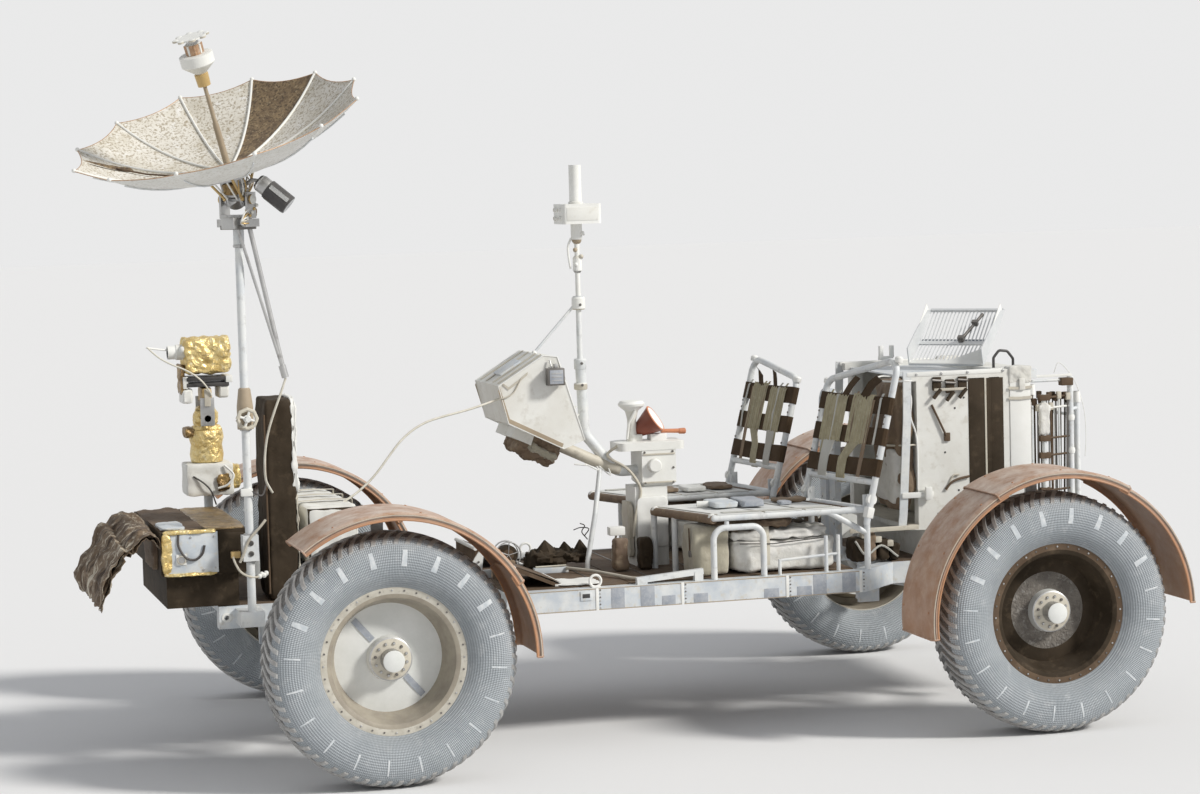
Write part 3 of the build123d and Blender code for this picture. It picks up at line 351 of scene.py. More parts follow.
finish("glass", "glass_dark", [(0.03, 0.04, 0.05), (0.02, 0.02, 0.03)], rough=(0.05, 0.1), dust=0.0,
       coat=0.6, bump=0.0)
finish("tool", "tool_wire", [(0.72, 0.73, 0.73), (0.60, 0.62, 0.63)], rough=(0.3, 0.5), metallic=0.3,
       dust=0.2)


# Shapes
def spans_of(*spans):
    """The middle and the half size of a box between lows and highs."""
    middle = Vector([(high + low) / 2 for low, high in spans])
    return middle, [(high - low) / 2 for low, high in spans]


def along_line(points, i):
    """The direction of a line at its point i."""
    return (points[min(i + 1, len(points) - 1)] - points[max(i - 1, 0)]).normalized()


class Shape:
    """A mesh built up from simple forms, each with its own finish. Points are in millimetres."""

    def __init__(self, matrix=None):
        self.bm = bmesh.new()
        self.uv = self.bm.loops.layers.uv.new("UVMap")
        self.finishes = []
        self.matrix = matrix

    def index(self, name):
        """The number of a finish in this mesh."""
        if name not in self.finishes:
            self.finishes.append(name)
        return self.finishes.index(name)

    def vert(self, point):
        point = Vector(point)
        return self.bm.verts.new(metres(*(self.matrix @ point if self.matrix else point)))

    def face(self, verts, index, uvs=None):
        made = self.bm.faces.new(verts)
        made.material_index = index
        made.smooth = True
        for loop, uv in zip(made.loops, uvs or []):
            loop[self.uv].uv = uv
        return made

    def ring(self, middle, radius, one, two, sides):
        """Vertices round middle, in the plane of the directions one and two."""
        angles = [2 * pi * k / sides for k in range(sides)]
        return [self.vert(middle + radius * (cos(a) * one + sin(a) * two)) for a in angles]

    def skin(self, rows, names, uv_of, closed=True, flip=False):
        """Faces between rows of vertices, with a finish for each row and uv_of(step across, row)."""
        count = len(rows[0])
        for j in range(len(rows) - 1):
            index = self.index(names[j])
            for i in range(count if closed else count - 1):
                k = (i + 1) % count
                quad = [rows[j][i], rows[j][k], rows[j + 1][k], rows[j + 1][i]]
                uvs = [uv_of(i, j), uv_of(i + 1, j), uv_of(i + 1, j + 1), uv_of(i, j + 1)]
                self.face(quad[::-1] if flip else quad, index, uvs[::-1] if flip else uvs)

    def cap(self, rows, first, last):
        """Close both ends of a round form."""
        self.face(list(reversed(rows[0])), self.index(first))
        self.face(rows[-1], self.index(last))

    def take(self, part, place, name, uv_of):
        """Take over a separate mesh, with each vertex at place(its own point)."""
        made = {v: self.vert(place(v.co)) for v in part.verts}
        index = self.index(name)
        for face in part.faces:
            self.face([made[v] for v in face.verts], index, [uv_of(v.co) for v in face.verts])
        part.free()

    def grid(self, point, across, along, name, size):
        """A surface through point(u, v), with u and v from 0 to 1, and its size in metres for its UVs."""
        rows = [[self.vert(point(i / across, j / along)) for i in range(across + 1)]
                for j in range(along + 1)]
        self.skin(rows, [name] * along, lambda i, j: (i / across * size[0], j / along * size[1]),
                  closed=False)

    def tube(self, points, radius, name, sides=10, caps=True):
        """A round bar along points, with one radius or one for each point."""
        points = [Vector(p) for p in points]
        radii = radius if isinstance(radius, (list, tuple)) else [radius] * len(points)
        side = along_line(points, 0).orthogonal().normalized()
        rows, runs = [], [0.0]
        for i, point in enumerate(points):
            along = along_line(points, i)
            side = (side - along * side.dot(along)).normalized()
            if i:
                runs.append(runs[-1] + (point - points[i - 1]).length)
            rows.append(self.ring(point, radii[i], side, along.cross(side), sides))
        girth = 2 * pi * max(radii) / 1000
        self.skin(rows, [name] * len(rows), lambda k, i: (k / sides * girth, runs[i] / 1000))
        if caps:
            self.cap(rows, name, name)

    def cable(self, points, radius, name, sides=8, steps=4):
        """A tube along a smooth line through points."""
        self.tube(curve(points, steps), radius, name, sides)

    def lathe(self, centre, axis, profile, name="white", sides=32, ends=True):
        """Turned form: profile holds radius, height along axis and, at will, the finish of what follows."""
        axis = Vector(axis).normalized()
        one = axis.orthogonal().normalized()
        two = axis.cross(one)
        rows, names = [], []
        for radius, height, *follows in profile:
            name = follows[0] if follows else name
            names.append(name)
            rows.append(self.ring(Vector(centre) + axis * height, max(radius, 0.05), one, two, sides))
        self.skin(rows, names, lambda k, i: (k / sides, i))
        if ends:
            self.cap(rows, names[0], names[-1])

    def box(self, x, y, z, name, bevel=1.5, turn=None):
        """A box between lows and highs, with rounded edges, turned about its middle."""
        middle, half = spans_of(x, y, z)
        size = [2 * length for length in half]
        part = bmesh.new()
        bmesh.ops.create_cube(part, size=1, matrix=Matrix.Diagonal((*size, 1)))
        bevel = min(bevel, 0.3 * min(size))
        if bevel > 0.05:
            bmesh.ops.bevel(part, geom=part.edges[:], offset=bevel, segments=2, affect="EDGES", profile=0.6)
        self.take(part, lambda c: (turn @ c if turn else c) + middle, name,
                  lambda c: (c.x / 1000, (c.y + c.z) / 1000))

    def puff(self, x, y, z, name, power=5.0, cuts=12, crumple=4.0, scale=0.02, seed=0.0, turn=None, sag=0.0):
        """A stuffed or wrapped box: its sides swell between its corners, with folds of a given height."""
        middle, half = spans_of(x, y, z)
        half = Vector(half)
        part = bmesh.new()
        bmesh.ops.create_cube(part, size=2)
        bmesh.ops.subdivide_edges(part, edges=part.edges[:], cuts=cuts, use_grid_fill=True)

        def swell(c):
            ease = (abs(c.x) ** power + abs(c.y) ** power + abs(c.z) ** power) ** (1 / power)
            q = Vector([c[i] / ease * half[i] for i in range(3)])
            out = Vector([c[i] * abs(c[i]) ** 2 / half[i] for i in range(3)]).normalized()
            place = (q + middle) * scale + Vector((seed, seed * 1.7, -seed))
            fold = noise.noise(place) + 0.5 * noise.noise(place * 2.3) - 0.35
            point = q + out * crumple * fold
            point.z -= sag * (1 - c.x ** 2) * (c.z + 1) / 2
            return (turn @ point if turn else point) + middle
        self.take(part, swell, name, lambda c: ((c.x + c.y) * half[0] / 1000, c.z * half[2] / 1000))

    def ball(self, centre, radius, name, sides=12):
        """A ball turned from half circles."""
        rings = max(4, sides // 2)
        profile = [(radius * sin(pi * i / rings), -radius * cos(pi * i / rings)) for i in range(rings + 1)]
        self.lathe(centre, (0, 0, 1), profile, name, sides, ends=False)

    def bolt(self, centre, axis, radius, height, name="metal", sides=8):
        """A bolt's head, sunk a little way into what it holds."""
        self.lathe(centre, axis, [(radius, -0.2), (radius, height * 0.7), (radius * 0.75, height)], name,
                   sides)

    def strip(self, points, width, across, name, thick=1.6, cuts=1, wave=None):
        """A flat strap along points, as wide as width along the direction across."""
        points = [Vector(p) for p in points]
        widths = width if isinstance(width, (list, tuple)) else [width] * len(points)
        across = Vector(across).normalized()
        runs = [0.0]
        for one, two in zip(points, points[1:]):
            runs.append(runs[-1] + (two - one).length / 1000)

        def row(i, lift):
            out = along_line(points, i).cross(across).normalized()
            shares = [k / cuts for k in range(cuts + 1)]
            waves = [wave(share, i / (len(points) - 1)) if wave else 0 for share in shares]
            return [self.vert(points[i] + across * widths[i] * (share - 0.5) + out * (lift * thick + extra))
                    for share, extra in zip(shares, waves)]
        top, low = ([row(i, lift) for i in range(len(points))] for lift in (0.5, -0.5))
        for rows, flip in ((top, False), (low, True)):
            self.skin(rows, [name] * len(rows), lambda k, i: (k / cuts * widths[i] / 1000, runs[i]), False,
                      flip)
        index = self.index(name)
        for i in range(len(points) - 1):
            self.face([top[i][0], top[i + 1][0], low[i + 1][0], low[i][0]], index)
            self.face([top[i + 1][-1], top[i][-1], low[i][-1], low[i + 1][-1]], index)
        for k in range(cuts):
            self.face([top[0][k + 1], top[0][k], low[0][k], low[0][k + 1]], index)
            self.face([top[-1][k], top[-1][k + 1], low[-1][k + 1], low[-1][k]], index)


def curve(points, steps=6):
    """A smooth line through points."""
    points = [Vector(p) for p in points]
    padded = [2 * points[0] - points[1]] + points + [2 * points[-1] - points[-2]]
    line = []
    for a, b, c, d in zip(padded, padded[1:], padded[2:], padded[3:]):
        for step in range(steps):
            t = step / steps
            line.append(0.5 * (2 * b + (c - a) * t + (2 * a - 5 * b + 4 * c - d) * t * t
                               + (3 * b - a - 3 * c + d) * t ** 3))
    return line + [points[-1]]


def piece(name, body, shape, *replaced, angle=35, slot=None):
    """Make an object of shape that rides on a body, and may stand for CAD nodes. Its slot is not used."""
    mesh = bpy.data.meshes.new(name)
    bmesh.ops.recalc_face_normals(shape.bm, faces=shape.bm.faces[:])
    shape.bm.to_mesh(mesh)
    shape.bm.free()
    for finish_name in shape.finishes:
        mesh.materials.append(FINISHES[finish_name])
    mesh.set_sharp_from_angle(angle=radians(angle))
    made = bpy.data.objects.new(name, mesh)
    bpy.context.scene.collection.objects.link(made)
    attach(made, body)
    if replaced:
        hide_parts(*replaced)
    return made


def clad(finish_name, *names):
    """Give CAD nodes their finish."""
    for name in names:
        thing = NODES[name]
        thing.data.materials.clear()
        thing.data.materials.append(FINISHES[finish_name])


clad("frame", "side_rails", "suspension_brackets", "cross_members", "centre_panel")
clad("tube", "outboard_handholds", "rail_fittings", "inboard_handhold", "seat_pans", "seat_back_frame_left",
     "seat_back_frame_right", "pallet_posts", "dish_mast")
clad("metal", "suspension_arms", "dish_yoke")
# The floor panels' dark brown is painted shade, and the footrests share it.
clad("brown", "floor_panels", "footrests")
clad("white", "console", "tool_pallet")
clad("bright", "control_pedestal", "low_gain_antenna")
clad("cream", "suspension_dampers")
clad("steel", "dish_sight")
# The battery boxes are near-black as painted shade.
clad("cavity", "battery_boxes")
clad("black", "cabinet_handle")
clad("tool", "rake")


# Leads: the same route points as the part's own
CONSOLE_LEAD = [(565.3, 150, 1163), (612, 158, 1148), (690, 168, 1128), (772, 178, 1113), (850, 186, 1094),
                (920, 192, 1050), (972, 196, 990), (1020, 198, 928), (1072, 199, 880), (1114, 200, 852),
                (1140, 200, 838)]
DISH_LEAD = [(1365.4, 450, 1287.6), (1380, 446, 1244), (1402, 438, 1186), (1424, 424, 1118),
             (1434, 408, 1058), (1437, 396, 1000), (1433, 379, 946), (1419, 361, 921), (1405, 344, 900)]
CAMERA_LEAD = [(1721, -308, 1365), (1696, -292, 1336), (1650, -279, 1306), (1596, -274, 1284),
               (1552, -272, 1256), (1519, -272, 1218), (1504, -280.5, 1186)]


def make_cord(name, body, points, radius, node_name):
    """A free lead along points of its own, that stands for the CAD lead node_name."""
    data = bpy.data.curves.new(name, "CURVE")
    data.dimensions = "3D"
    data.bevel_depth = radius / 1000
    data.bevel_resolution = 3
    data.resolution_u = 10
    data.use_fill_caps = True
    spline = data.splines.new("NURBS")
    spline.points.add(len(points) - 1)
    for target, point in zip(spline.points, points):
        target.co = (*metres(*point), 1)
    spline.order_u = 3
    spline.use_endpoint_u = True
    data.materials.append(FINISHES["lead"])
    made = bpy.data.objects.new(name, data)
    bpy.context.scene.collection.objects.link(made)
    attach(made, body)
    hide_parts(node_name)


make_cord("console_cable", "chassis", CONSOLE_LEAD, 4, "console_lead")
make_cord("dish_cable", "chassis", DISH_LEAD, 4, "dish_lead")
make_cord("camera_cable", "camera_head", CAMERA_LEAD, 3, "camera_lead")


# Wheels
WHEELBASE = 2286
TRACK = 1829
WHEEL_R = 409
TYRE_HALF = [(238, 78), (262, 97), (288, 109), (320, 114), (352, 112), (378, 101), (395, 80), (401.5, 52),
             (403.5, 20)]
TYRE_R = 403.6          # outside of the mesh, under the cleats
TYRE_STEPS = 120
TREAD_HALF = 72
MESH_ROUND = 2.3        # metres of mesh pattern round a tyre
CLEATS = 65
CLEAT_BAR = 17
CLEAT_RISE = 5
CLEAT_SINK = 1.5
CLEAT_LEAN = 0.56       # run round the tread for each millimetre across it
CLEAT_STATIONS = (0, 26, 52, 72, 90, 101)
STRIPS = 20
STRIP_WALL = (306, 362)         # the pale strips run between these radii


def tyre_line():
    """The tyre's section as (radius, distance from its middle plane), from one bead to the other."""
    half = [(p.x, p.y) for p in curve([(r, y, 0) for r, y in TYRE_HALF], 3)]
    return half + [(TYRE_R, 0)] + [(r, -y) for r, y in reversed(half)]


TYRE_LINE = tyre_line()


def tread_radius(y):
    """Radius of the tyre's outside at a distance y from its middle plane."""
    outer = [(r, abs(w)) for r, w in TYRE_LINE if r > 340 and w >= 0]
    for (r1, w1), (r2, w2) in zip(outer, outer[1:]):
        if w2 <= abs(y) <= w1:
            return r1 + (r2 - r1) * (w1 - abs(y)) / max(w1 - w2, 1e-6)
    return TYRE_R


def make_tyre(name, centre, node_name, body):
    """A tyre of woven wire, with chevron cleats round its tread and pale strips on its walls."""
    shape = Shape()

    def around(r, y, angle):
        return Vector((centre[0] + r * cos(angle), centre[1] + y, centre[2] + r * sin(angle)))

    pairs = list(zip(TYRE_LINE, TYRE_LINE[1:]))
    arc = [0.0]
    for (r1, y1), (r2, y2) in pairs:
        arc.append(arc[-1] + sqrt((r2 - r1) ** 2 + (y2 - y1) ** 2) / 1000)
    angles = [2 * pi * k / TYRE_STEPS for k in range(TYRE_STEPS)]
    rows = [[shape.vert(around(r, y, angle)) for angle in angles] for r, y in TYRE_LINE]
    names = ["tread" if abs(one[1] + two[1]) / 2 < TREAD_HALF else "tyre" for one, two in pairs]
    shape.skin(rows, names, lambda k, i: (MESH_ROUND * k / TYRE_STEPS, arc[i]))
    bar = CLEAT_BAR / 2 / WHEEL_R
    index = shape.index("cleat")
    for number in range(CLEATS):
        base = 2 * pi * number / CLEATS
        for side in (1, -1):
            sections = []
            for y in CLEAT_STATIONS:
                low = tread_radius(y) - CLEAT_SINK
                high = min(tread_radius(y) + CLEAT_RISE, WHEEL_R)
                middle = base - y * CLEAT_LEAN / WHEEL_R
                sections.append([shape.vert(around(r, side * y, middle + a)) for r, a in
                                 ((low, -bar), (high, -bar * 0.8), (high, bar * 0.8), (low, bar))])
            for one, two in zip(sections, sections[1:]):
                for k in range(3):
                    shape.face([one[k], one[k + 1], two[k + 1], two[k]], index)
            shape.face(sections[-1], index)
    index = shape.index("tyre_strip")
    wall = [(r, y) for r, y in TYRE_LINE if STRIP_WALL[0] < r < STRIP_WALL[1] and y > 0]
    for number in range(STRIPS):
        middle = 2 * pi * (number + 0.35) / STRIPS
        # Painted light: the pale strips are wider on the wheel's upper part, where light fell on them.
        broad = 1.3 if sin(middle) > 0.25 else 0.45
        for side in (1, -1):
            edges = []
            for i, (r, y) in enumerate(wall):
                wide = (7.5 - 2.5 * i / len(wall)) / r * broad
                edges.append([shape.vert(around(r, side * (y + 0.7), middle + a)) for a in (-wide, wide)])
            for one, two in zip(edges, edges[1:]):
                shape.face([one[0], one[1], two[1], two[0]], index)
    piece(name, body, shape, node_name, slot="wire_mesh")


# Finishes of a rim's disc, wall, outer ring and the ring round its hub
# The clean rims' tan wall is painted shade in the drum.
CLEAN_RIM = ("disc", "drum", "ring", "disc")
# Rear rims: soil round the hub and a brown outer ring, with near-black painted shade on the disc and the
# drum's wall.
SOILED_SHADED_RIM = ("cavity", "cavity", "brown", "soil")
RIM_BOLTS = 36
HUB_BOLTS = 12
PATCH_TURN = 0.86       # the two grey patches lie across the disc at this angle, in radians


def make_rim(name, centre, side, soiled_shaded, node_name, body):
    """The rim: its outer side is towards side."""
    disc, wall, ring, middle = SOILED_SHADED_RIM if soiled_shaded else CLEAN_RIM
    shape = Shape()
    axis = (0, side, 0)
    outer = [(238, -78, "ring"), (238, 78, ring), (217, 78, wall), (203, 72, wall), (176, -18, disc),
             (132, -14, middle), (100, -10, middle), (74, -6, "disc"), (70, 24, "metal"), (66, 26, "cream"),
             (36, 30, "metal"), (35, 74, "disc"), (31, 76), (0, 76)]
    inner = [(0, -31.6, "metal"), (18, -31.6), (18, -26, "disc"), (180, -26, "drum"),
             (209, 74), (234, 74), (234, -78, "ring"), (238, -78)]
    for profile in (outer, inner):
        shape.lathe(centre, axis, profile, sides=72, ends=False)

    def at(radius, angle, height):
        return Vector((centre[0] + radius * cos(angle), centre[1] + side * height,
                       centre[2] + radius * sin(angle)))
    for number in range(RIM_BOLTS):
        shape.bolt(at(228, 2 * pi * number / RIM_BOLTS, 78), axis, 3.2, 2.4,
                   "steel" if number % 3 else "metal")
    for number in range(HUB_BOLTS):
        shape.bolt(at(52, 2 * pi * number / HUB_BOLTS + 0.2, 28), axis, 5, 5,
                   "metal" if number % 4 else "steel")
    if not soiled_shaded:
        for turn in (PATCH_TURN, PATCH_TURN + pi):
            points = [at(r, turn, -18 + 12 * (176 - r) / 100 + 1.0) for r in (80, 120, 168)]
            shape.strip(points, 21, Vector((-sin(turn), 0, cos(turn))), "patch", 1.2)
    piece(name, body, shape, node_name, slot="rim_metal")


FENDER_R = 482
FENDER_LIP = 24
FENDER_HALF = 145
# from and to in degrees, rise over the fender's radius, and half width, of each section
FENDER_SECTIONS = {
    1: [(52, 150, 0, FENDER_HALF), (146, 181, -6, FENDER_HALF - 4)],
    -1: [(60, 120, 8, FENDER_HALF), (-6, 64, 2, FENDER_HALF - 4), (116, 178, 2, FENDER_HALF - 4)],
}


def make_fender_trim(name, centre, end, body):
    """Rolled lips and joint beads on a fender."""
    shape = Shape()

    def at(radius, angle, y):
        turn = radians(angle)
        return Vector((centre[0] + radius * cos(turn), centre[1] + y, centre[2] + radius * sin(turn)))
    for start, stop, rise, half in FENDER_SECTIONS[end]:
        radius = FENDER_R + rise
        low = radius - FENDER_LIP
        steps = max(4, int((stop - start) / 3))
        angles = [start + (stop - start) * i / steps for i in range(steps + 1)]
        edges = [(low + 1, half - 1, 3.6, "shell_edge", 8), (radius - 8.5, half + 0.4, 1.5, "cream", 6),
                 (radius - 13, half + 0.4, 1.2, "steel", 6)]
        for side in (1, -1):
            for r, y, thick, finish_name, sides in edges:
                shape.tube([at(r, a, side * y) for a in angles], thick, finish_name, sides)
        for angle in (start, stop):
            bead = [(low, -half), (radius - 7, -half), (radius - 1, 14 - half), (radius - 0.5, 0),
                    (radius - 1, half - 14), (radius - 7, half), (low, half)]
            shape.tube([at(r, angle, y) for r, y in bead], 3.2, "shell", 8)
        for i in range(3):
            angle = start + (stop - start) * (0.15 + 0.35 * i)
            outward = at(1, angle, 0) - at(0, angle, 0)
            for side in (1, -1):
                shape.bolt(at(radius, angle, side * (half - 30)), outward, 4, 2.5, "shell_edge")
    piece(name, body, shape)


for end, x_side in FRONT_REAR.items():
    for side, y_side in LEFT_RIGHT.items():
        corner = f"{end}_{side}"
        centre = (x_side * WHEELBASE / 2, y_side * TRACK / 2, WHEEL_R)
        make_tyre(f"wire_tyre_{corner}", centre, f"tyre_{corner}", f"wheel_{corner}")
        make_rim(f"spun_rim_{corner}", centre, y_side, end == "rear", f"rim_{corner}", f"wheel_{corner}")
        make_fender_trim(f"fender_trim_{corner}", centre, x_side, f"knuckle_{corner}")
        clad("shell", f"fender_{corner}")
        clad("metal", f"knuckle_{corner}")


# Dish: its own turn and tilt
MAST = (1504, 450)
GIMBAL_Z = 1880
DISH_AZ, DISH_EL = 40.2, 69.3
DISH_R, DISH_DEPTH = 484, 159
DISH_RIBS, DISH_PHASE, SCALLOP = 12, 23.6, 17
DISH_EYE = 50           # radius of the hole in the mesh, under the hub
# One gore of dark mesh: the feed's painted shadow.
FEED_SHADOW_GORE = 5
DISH_BASE = 102
FEED_BASE, FEED_TIP = 111, 564
TURN = Matrix.Translation((*MAST, GIMBAL_Z)) @ turned(DISH_AZ, "Z")
TILT = TURN @ turned(90 - DISH_EL, "Y")


def bowl_height(r):
    radius = (DISH_R ** 2 + DISH_DEPTH ** 2) / (2 * DISH_DEPTH)
    return DISH_BASE + radius - sqrt(radius ** 2 - r ** 2)


def lifted(x, y, lift):
    return Vector((x, y, bowl_height(sqrt(x * x + y * y)) + lift))


def bowl_point(line, u, v, lift):
    """A point of a pointed flap along line, that lies on the bowl."""
    i = min(int(v * (len(line) - 1)), len(line) - 2)
    share = v * (len(line) - 1) - i
    x = line[i][0] + (line[i + 1][0] - line[i][0]) * share
    y = line[i][1] + (line[i + 1][1] - line[i][1]) * share
    wide = (u - 0.5) * 96 * sin(pi * (0.04 + 0.92 * v)) ** 0.8
    return lifted(x + wide * 0.5, y - wide * 0.86, lift + 4 * cos(5 * v + 4 * u))


def make_dish():
    """The bowl with its gores, ribs and hub, and the gimbal's clevis under it."""
    shape = Shape(TILT)
    step = 2 * pi / DISH_RIBS
    phase = radians(DISH_PHASE)

    def gore(number, lift):
        one, two = phase + step * number, phase + step * (number + 1)

        def point(u, v):
            r = (DISH_EYE + (DISH_R - DISH_EYE) * v) * (1 - SCALLOP / DISH_R * 4 * u * (1 - u) * v ** 1.5)
            h = bowl_height(r) - 3 * sin(pi * u) * sin(pi * v) + lift
            a, b = Vector((cos(one), sin(one), 0)), Vector((cos(two), sin(two), 0))
            flat = a.lerp(b, u) * r
            return Vector((flat.x, flat.y, h))
        return point

    def on_bowl(out, r, lift):
        return out * r + Vector((0, 0, bowl_height(r) + lift))
    for number in range(DISH_RIBS):
        inside = "mesh_dark" if number == FEED_SHADOW_GORE else "mesh"
        for lift, name in ((0.0, inside), (-1.6, "mesh_out")):
            shape.grid(gore(number, lift), 8, 16, name, size=(0.25, 0.5))
        edge = gore(number, -0.8)
        shape.tube([edge(i / 8, 1.0) for i in range(9)], 1.6, "copper", 6, caps=False)
        angle = phase + step * number
        out = Vector((cos(angle), sin(angle), 0))
        rib = [on_bowl(out, r, 2.5) for r in range(40, DISH_R, 44)] + [on_bowl(out, DISH_R, 2)]
        shape.tube(rib, 4.2, "bright", 8)
        shape.tube([on_bowl(out, r, -5) for r in range(60, DISH_R, 53)], 2.6, "tube", 6)
        shape.ball(out * (DISH_R - 1) + Vector((0, 0, bowl_height(DISH_R) + 1)), 7.5, "bright", 12)
    hub = [(70, -20, "metal"), (70, -4), (64, -2, "bright"), (62, 9), (40, 11), (12, 12, "metal")]
    shape.lathe((0, 0, DISH_BASE), (0, 0, 1), hub, sides=40)
    for y in ((-40, -24), (24, 40)):
        shape.box((-18, 18), y, (-18, 84), "metal")
    for side in (-40, 32):
        shape.lathe((0, side, 0), (0, 1, 0), [(20, 0, "metal"), (20, 8)], sides=20)
    for x in (1, -1):
        for y in (1, -1):
            shape.tube([(x * 16, y * 38, 8), (x * 58, y * 56, 92)], 4.5, "amber", 8)
            shape.tube([(x * 22, y * 20, 10), (x * 62, y * 30, 94)], 3, "bright", 8)
            shape.ball((x * 16, y * 38, 8), 8, "amber", 10)
    for number, name in enumerate(("amber", "bright", "amber", "cream", "amber")):
        wobble = noise.noise(Vector((number * 3.1, 1, 2)))
        shape.cable([(30 - 14 * number, 42, 20), (44 - 20 * number + 10 * wobble, 60, 50),
                     (20 - 12 * number, 48, 88)], 2.4, name, 6)
    shape.puff((-40, 30), (-36, 36), (20, 66), "gold_shaded", 4, 6, 6, 0.06)
    # a torn flap of mesh by the left rib, with the rod that goes from it to the hub
    leaf = [(262, -352), (236, -338), (205, -318), (172, -300), (150, -286)]
    for lift in (7, 5):
        shape.grid(lambda u, v: bowl_point(leaf, u, v, lift), 4, 8, "mesh_dark", size=(0.1, 0.12))
    rod = [(190, -300), (150, -215), (110, -140), (66, -66)]
    shape.tube([lifted(x, y, 8) for x, y in rod], 3, "brown", 8)
    piece("dish_bowl", "dish", shape, "dish_reflector", angle=30, slot="dish_mesh")


def make_feed():
    """The feed on its rod, with a cup and eight petals at its tip."""
    shape = Shape(TILT)
    tip, base = FEED_TIP, FEED_BASE
    profile = [(11, base, "tan"), (10, base + 150), (7, base + 162), (6.5, tip - 172, "amber"),
               (21, tip - 168), (23, tip - 128), (18, tip - 126, "white"), (52, tip - 98, "bright"),
               (55, tip - 94), (55, tip - 62), (52, tip - 60), (27, tip - 60, "copper"),
               (27, tip - 26, "bright"), (20, tip - 22, "metal"), (20, tip - 8), (50, tip - 7, "bright"),
               (50, tip - 2), (0, tip - 2)]
    shape.lathe((0, 0, 0), (0, 0, 1), profile, sides=36)
    petal = [(11, 0, "cream"), (11, 6, "bright"), (7, 8)]
    for number in range(8):
        angle = 2 * pi * number / 8
        out = Vector((cos(angle), sin(angle), 0))
        shape.lathe(out * 50 + Vector((0, 0, tip - 8)), (0, 0, 1), petal, sides=12)
        shape.tube([out * 26 + Vector((0, 0, tip - 58)), out * 27 + Vector((0, 0, tip - 27))], 4,
                   "copper" if number % 2 else "bright", 8)
    piece("dish_feed_horn", "dish", shape, "dish_feed", slot="white_paint")


def make_sight():
    """The sight at the side of the gimbal, on an arm from the dish's foot."""
    shape = Shape(TILT)
    top, low = Vector((-14, 102, 54)), Vector((-28, 186, -36))
    along = (low - top).normalized()
    length = (low - top).length
    shape.lathe(top, along, [(22, -6, "black"), (27, 0, "mirror"), (29, 6, "metal"), (29, 34, "black"),
                             (33, 36), (33, length - 2), (27, length, "glass"), (0, length - 4)], sides=32)
    one = along.orthogonal().normalized()
    two = along.cross(one)
    for number in range(3):
        out = cos(0.9 + 2.1 * number) * one + sin(0.9 + 2.1 * number) * two
        rim = top + out * 33.4
        shape.strip([rim + along * 42, rim + along * (length - 8)], 15, along.cross(out), "mirror", 0.8)
    shape.tube([(0, 34, 44), (-12, 78, 62), (-14, 100, 58)], 7, "metal", 8)
    piece("dish_sight_scope", "dish", shape)


make_dish()
make_feed()
make_sight()


WIRE_COLOURS = ("bright", "amber", "bright", "cream", "amber")


def make_yoke_detail():
    """Drive housings and wiring on the dish's yoke."""
    shape = Shape(TURN)
    shape.box((-40, 40), (-44, 44), (-98, -84), "steel", 2)
    shape.box((-60, -30), (-50, 10), (-92, -60), "gold_shaded", 3)
    shape.box((34, 62), (-20, 34), (-96, -58), "metal", 3)
    for number in range(5):
        wobble = noise.noise(Vector((number * 2.3, 4, 1)))
        wire = [(20, 62, -34 - 11 * number), (44 + 10 * wobble, 66, -46 - 8 * number), (50, 56, -76),
                (30, 52, -84)]
        shape.cable(wire, 2.6, WIRE_COLOURS[number], 6)
        plug = (-24 + 12 * number, 62 + 4 * wobble, -20 - 11 * number)
        shape.ball(plug, 6, ("bright", "amber")[number % 2], 10)
    for y in (-70, 62):
        shape.lathe((0, y, 0), (0, 1, 0), [(16, 0, "amber"), (16, 6, "bright"), (8, 8)], sides=16)
    shape.puff((-30, 26), (46, 60), (-64, -28), "gold_shaded", 4, 6, 4, 0.06, 3)
    piece("dish_yoke_detail", "dish_yoke", shape)


def make_mast_detail():
    """The crank, collars, leads and clips on the dish's mast."""
    shape = Shape()
    x, y = MAST
    crank = 1162
    shape.tube(hoop((x, y + 40, crank), 32, 8), 7, "cream", 8, caps=False)
    for number in range(4):
        angle = 0.3 + pi * number / 2
        shape.tube([(x, y + 40, crank), (x + 30 * cos(angle), y + 40, crank + 30 * sin(angle))], 4.5,
                   "bright", 6)
    shape.lathe((x, y + 27, crank), (0, 1, 0), [(13, 0, "steel"), (13, 14, "bright"), (8, 17)], sides=16)
    shape.lathe((x, y, 1130), (0, 0, 1), [(27, -4, "tan"), (27, 70), (20, 128), (15, 132)], sides=24)
    collar = [(18, -5, "metal"), (20, -3), (20, 3), (18, 5)]
    for z in (690, 775, 1126, 1728, 1788):
        shape.lathe((x, y, z), (0, 0, 1), collar, sides=20)
    for z in (715, 750):
        shape.lathe((x, y + 24, z), (0, 1, 0), [(9, 0, "steel"), (9, 3), (5, 4, "black")], sides=16)
    shape.cable([(1452, 470, 824), (1475, 478, 800), (1510, 478, 762), (1530, 476, 715), (1542, 470, 688)],
                4.5, "cream", steps=5)
    shape.cable([(1560, 440, 712), (1558, 462, 690), (1541, 468, 657), (1510, 466, 638), (1474, 440, 633),
                 (1440, 400, 640)], 4, "cream", steps=5)
    for number in range(4):
        shape.ball((1474 - 9 * number, 440 - 10 * number, 634 + 5 * (number % 2)), 9, "bright", 10)
    shape.box((1536, 1566), (430, 452), (700, 722), "amber", 2)
    shape.box((1490, 1530), (455, 470), (905, 930), "bright", 3)
    shape.cable([(1500, 466, 925), (1462, 470, 905), (1440, 430, 935)], 3, "wire", 6)
    piece("mast_detail", "chassis", shape)


make_yoke_detail()
make_mast_detail()


# Camera head
STAND = (1520, -350)    # axis of the camera's stand


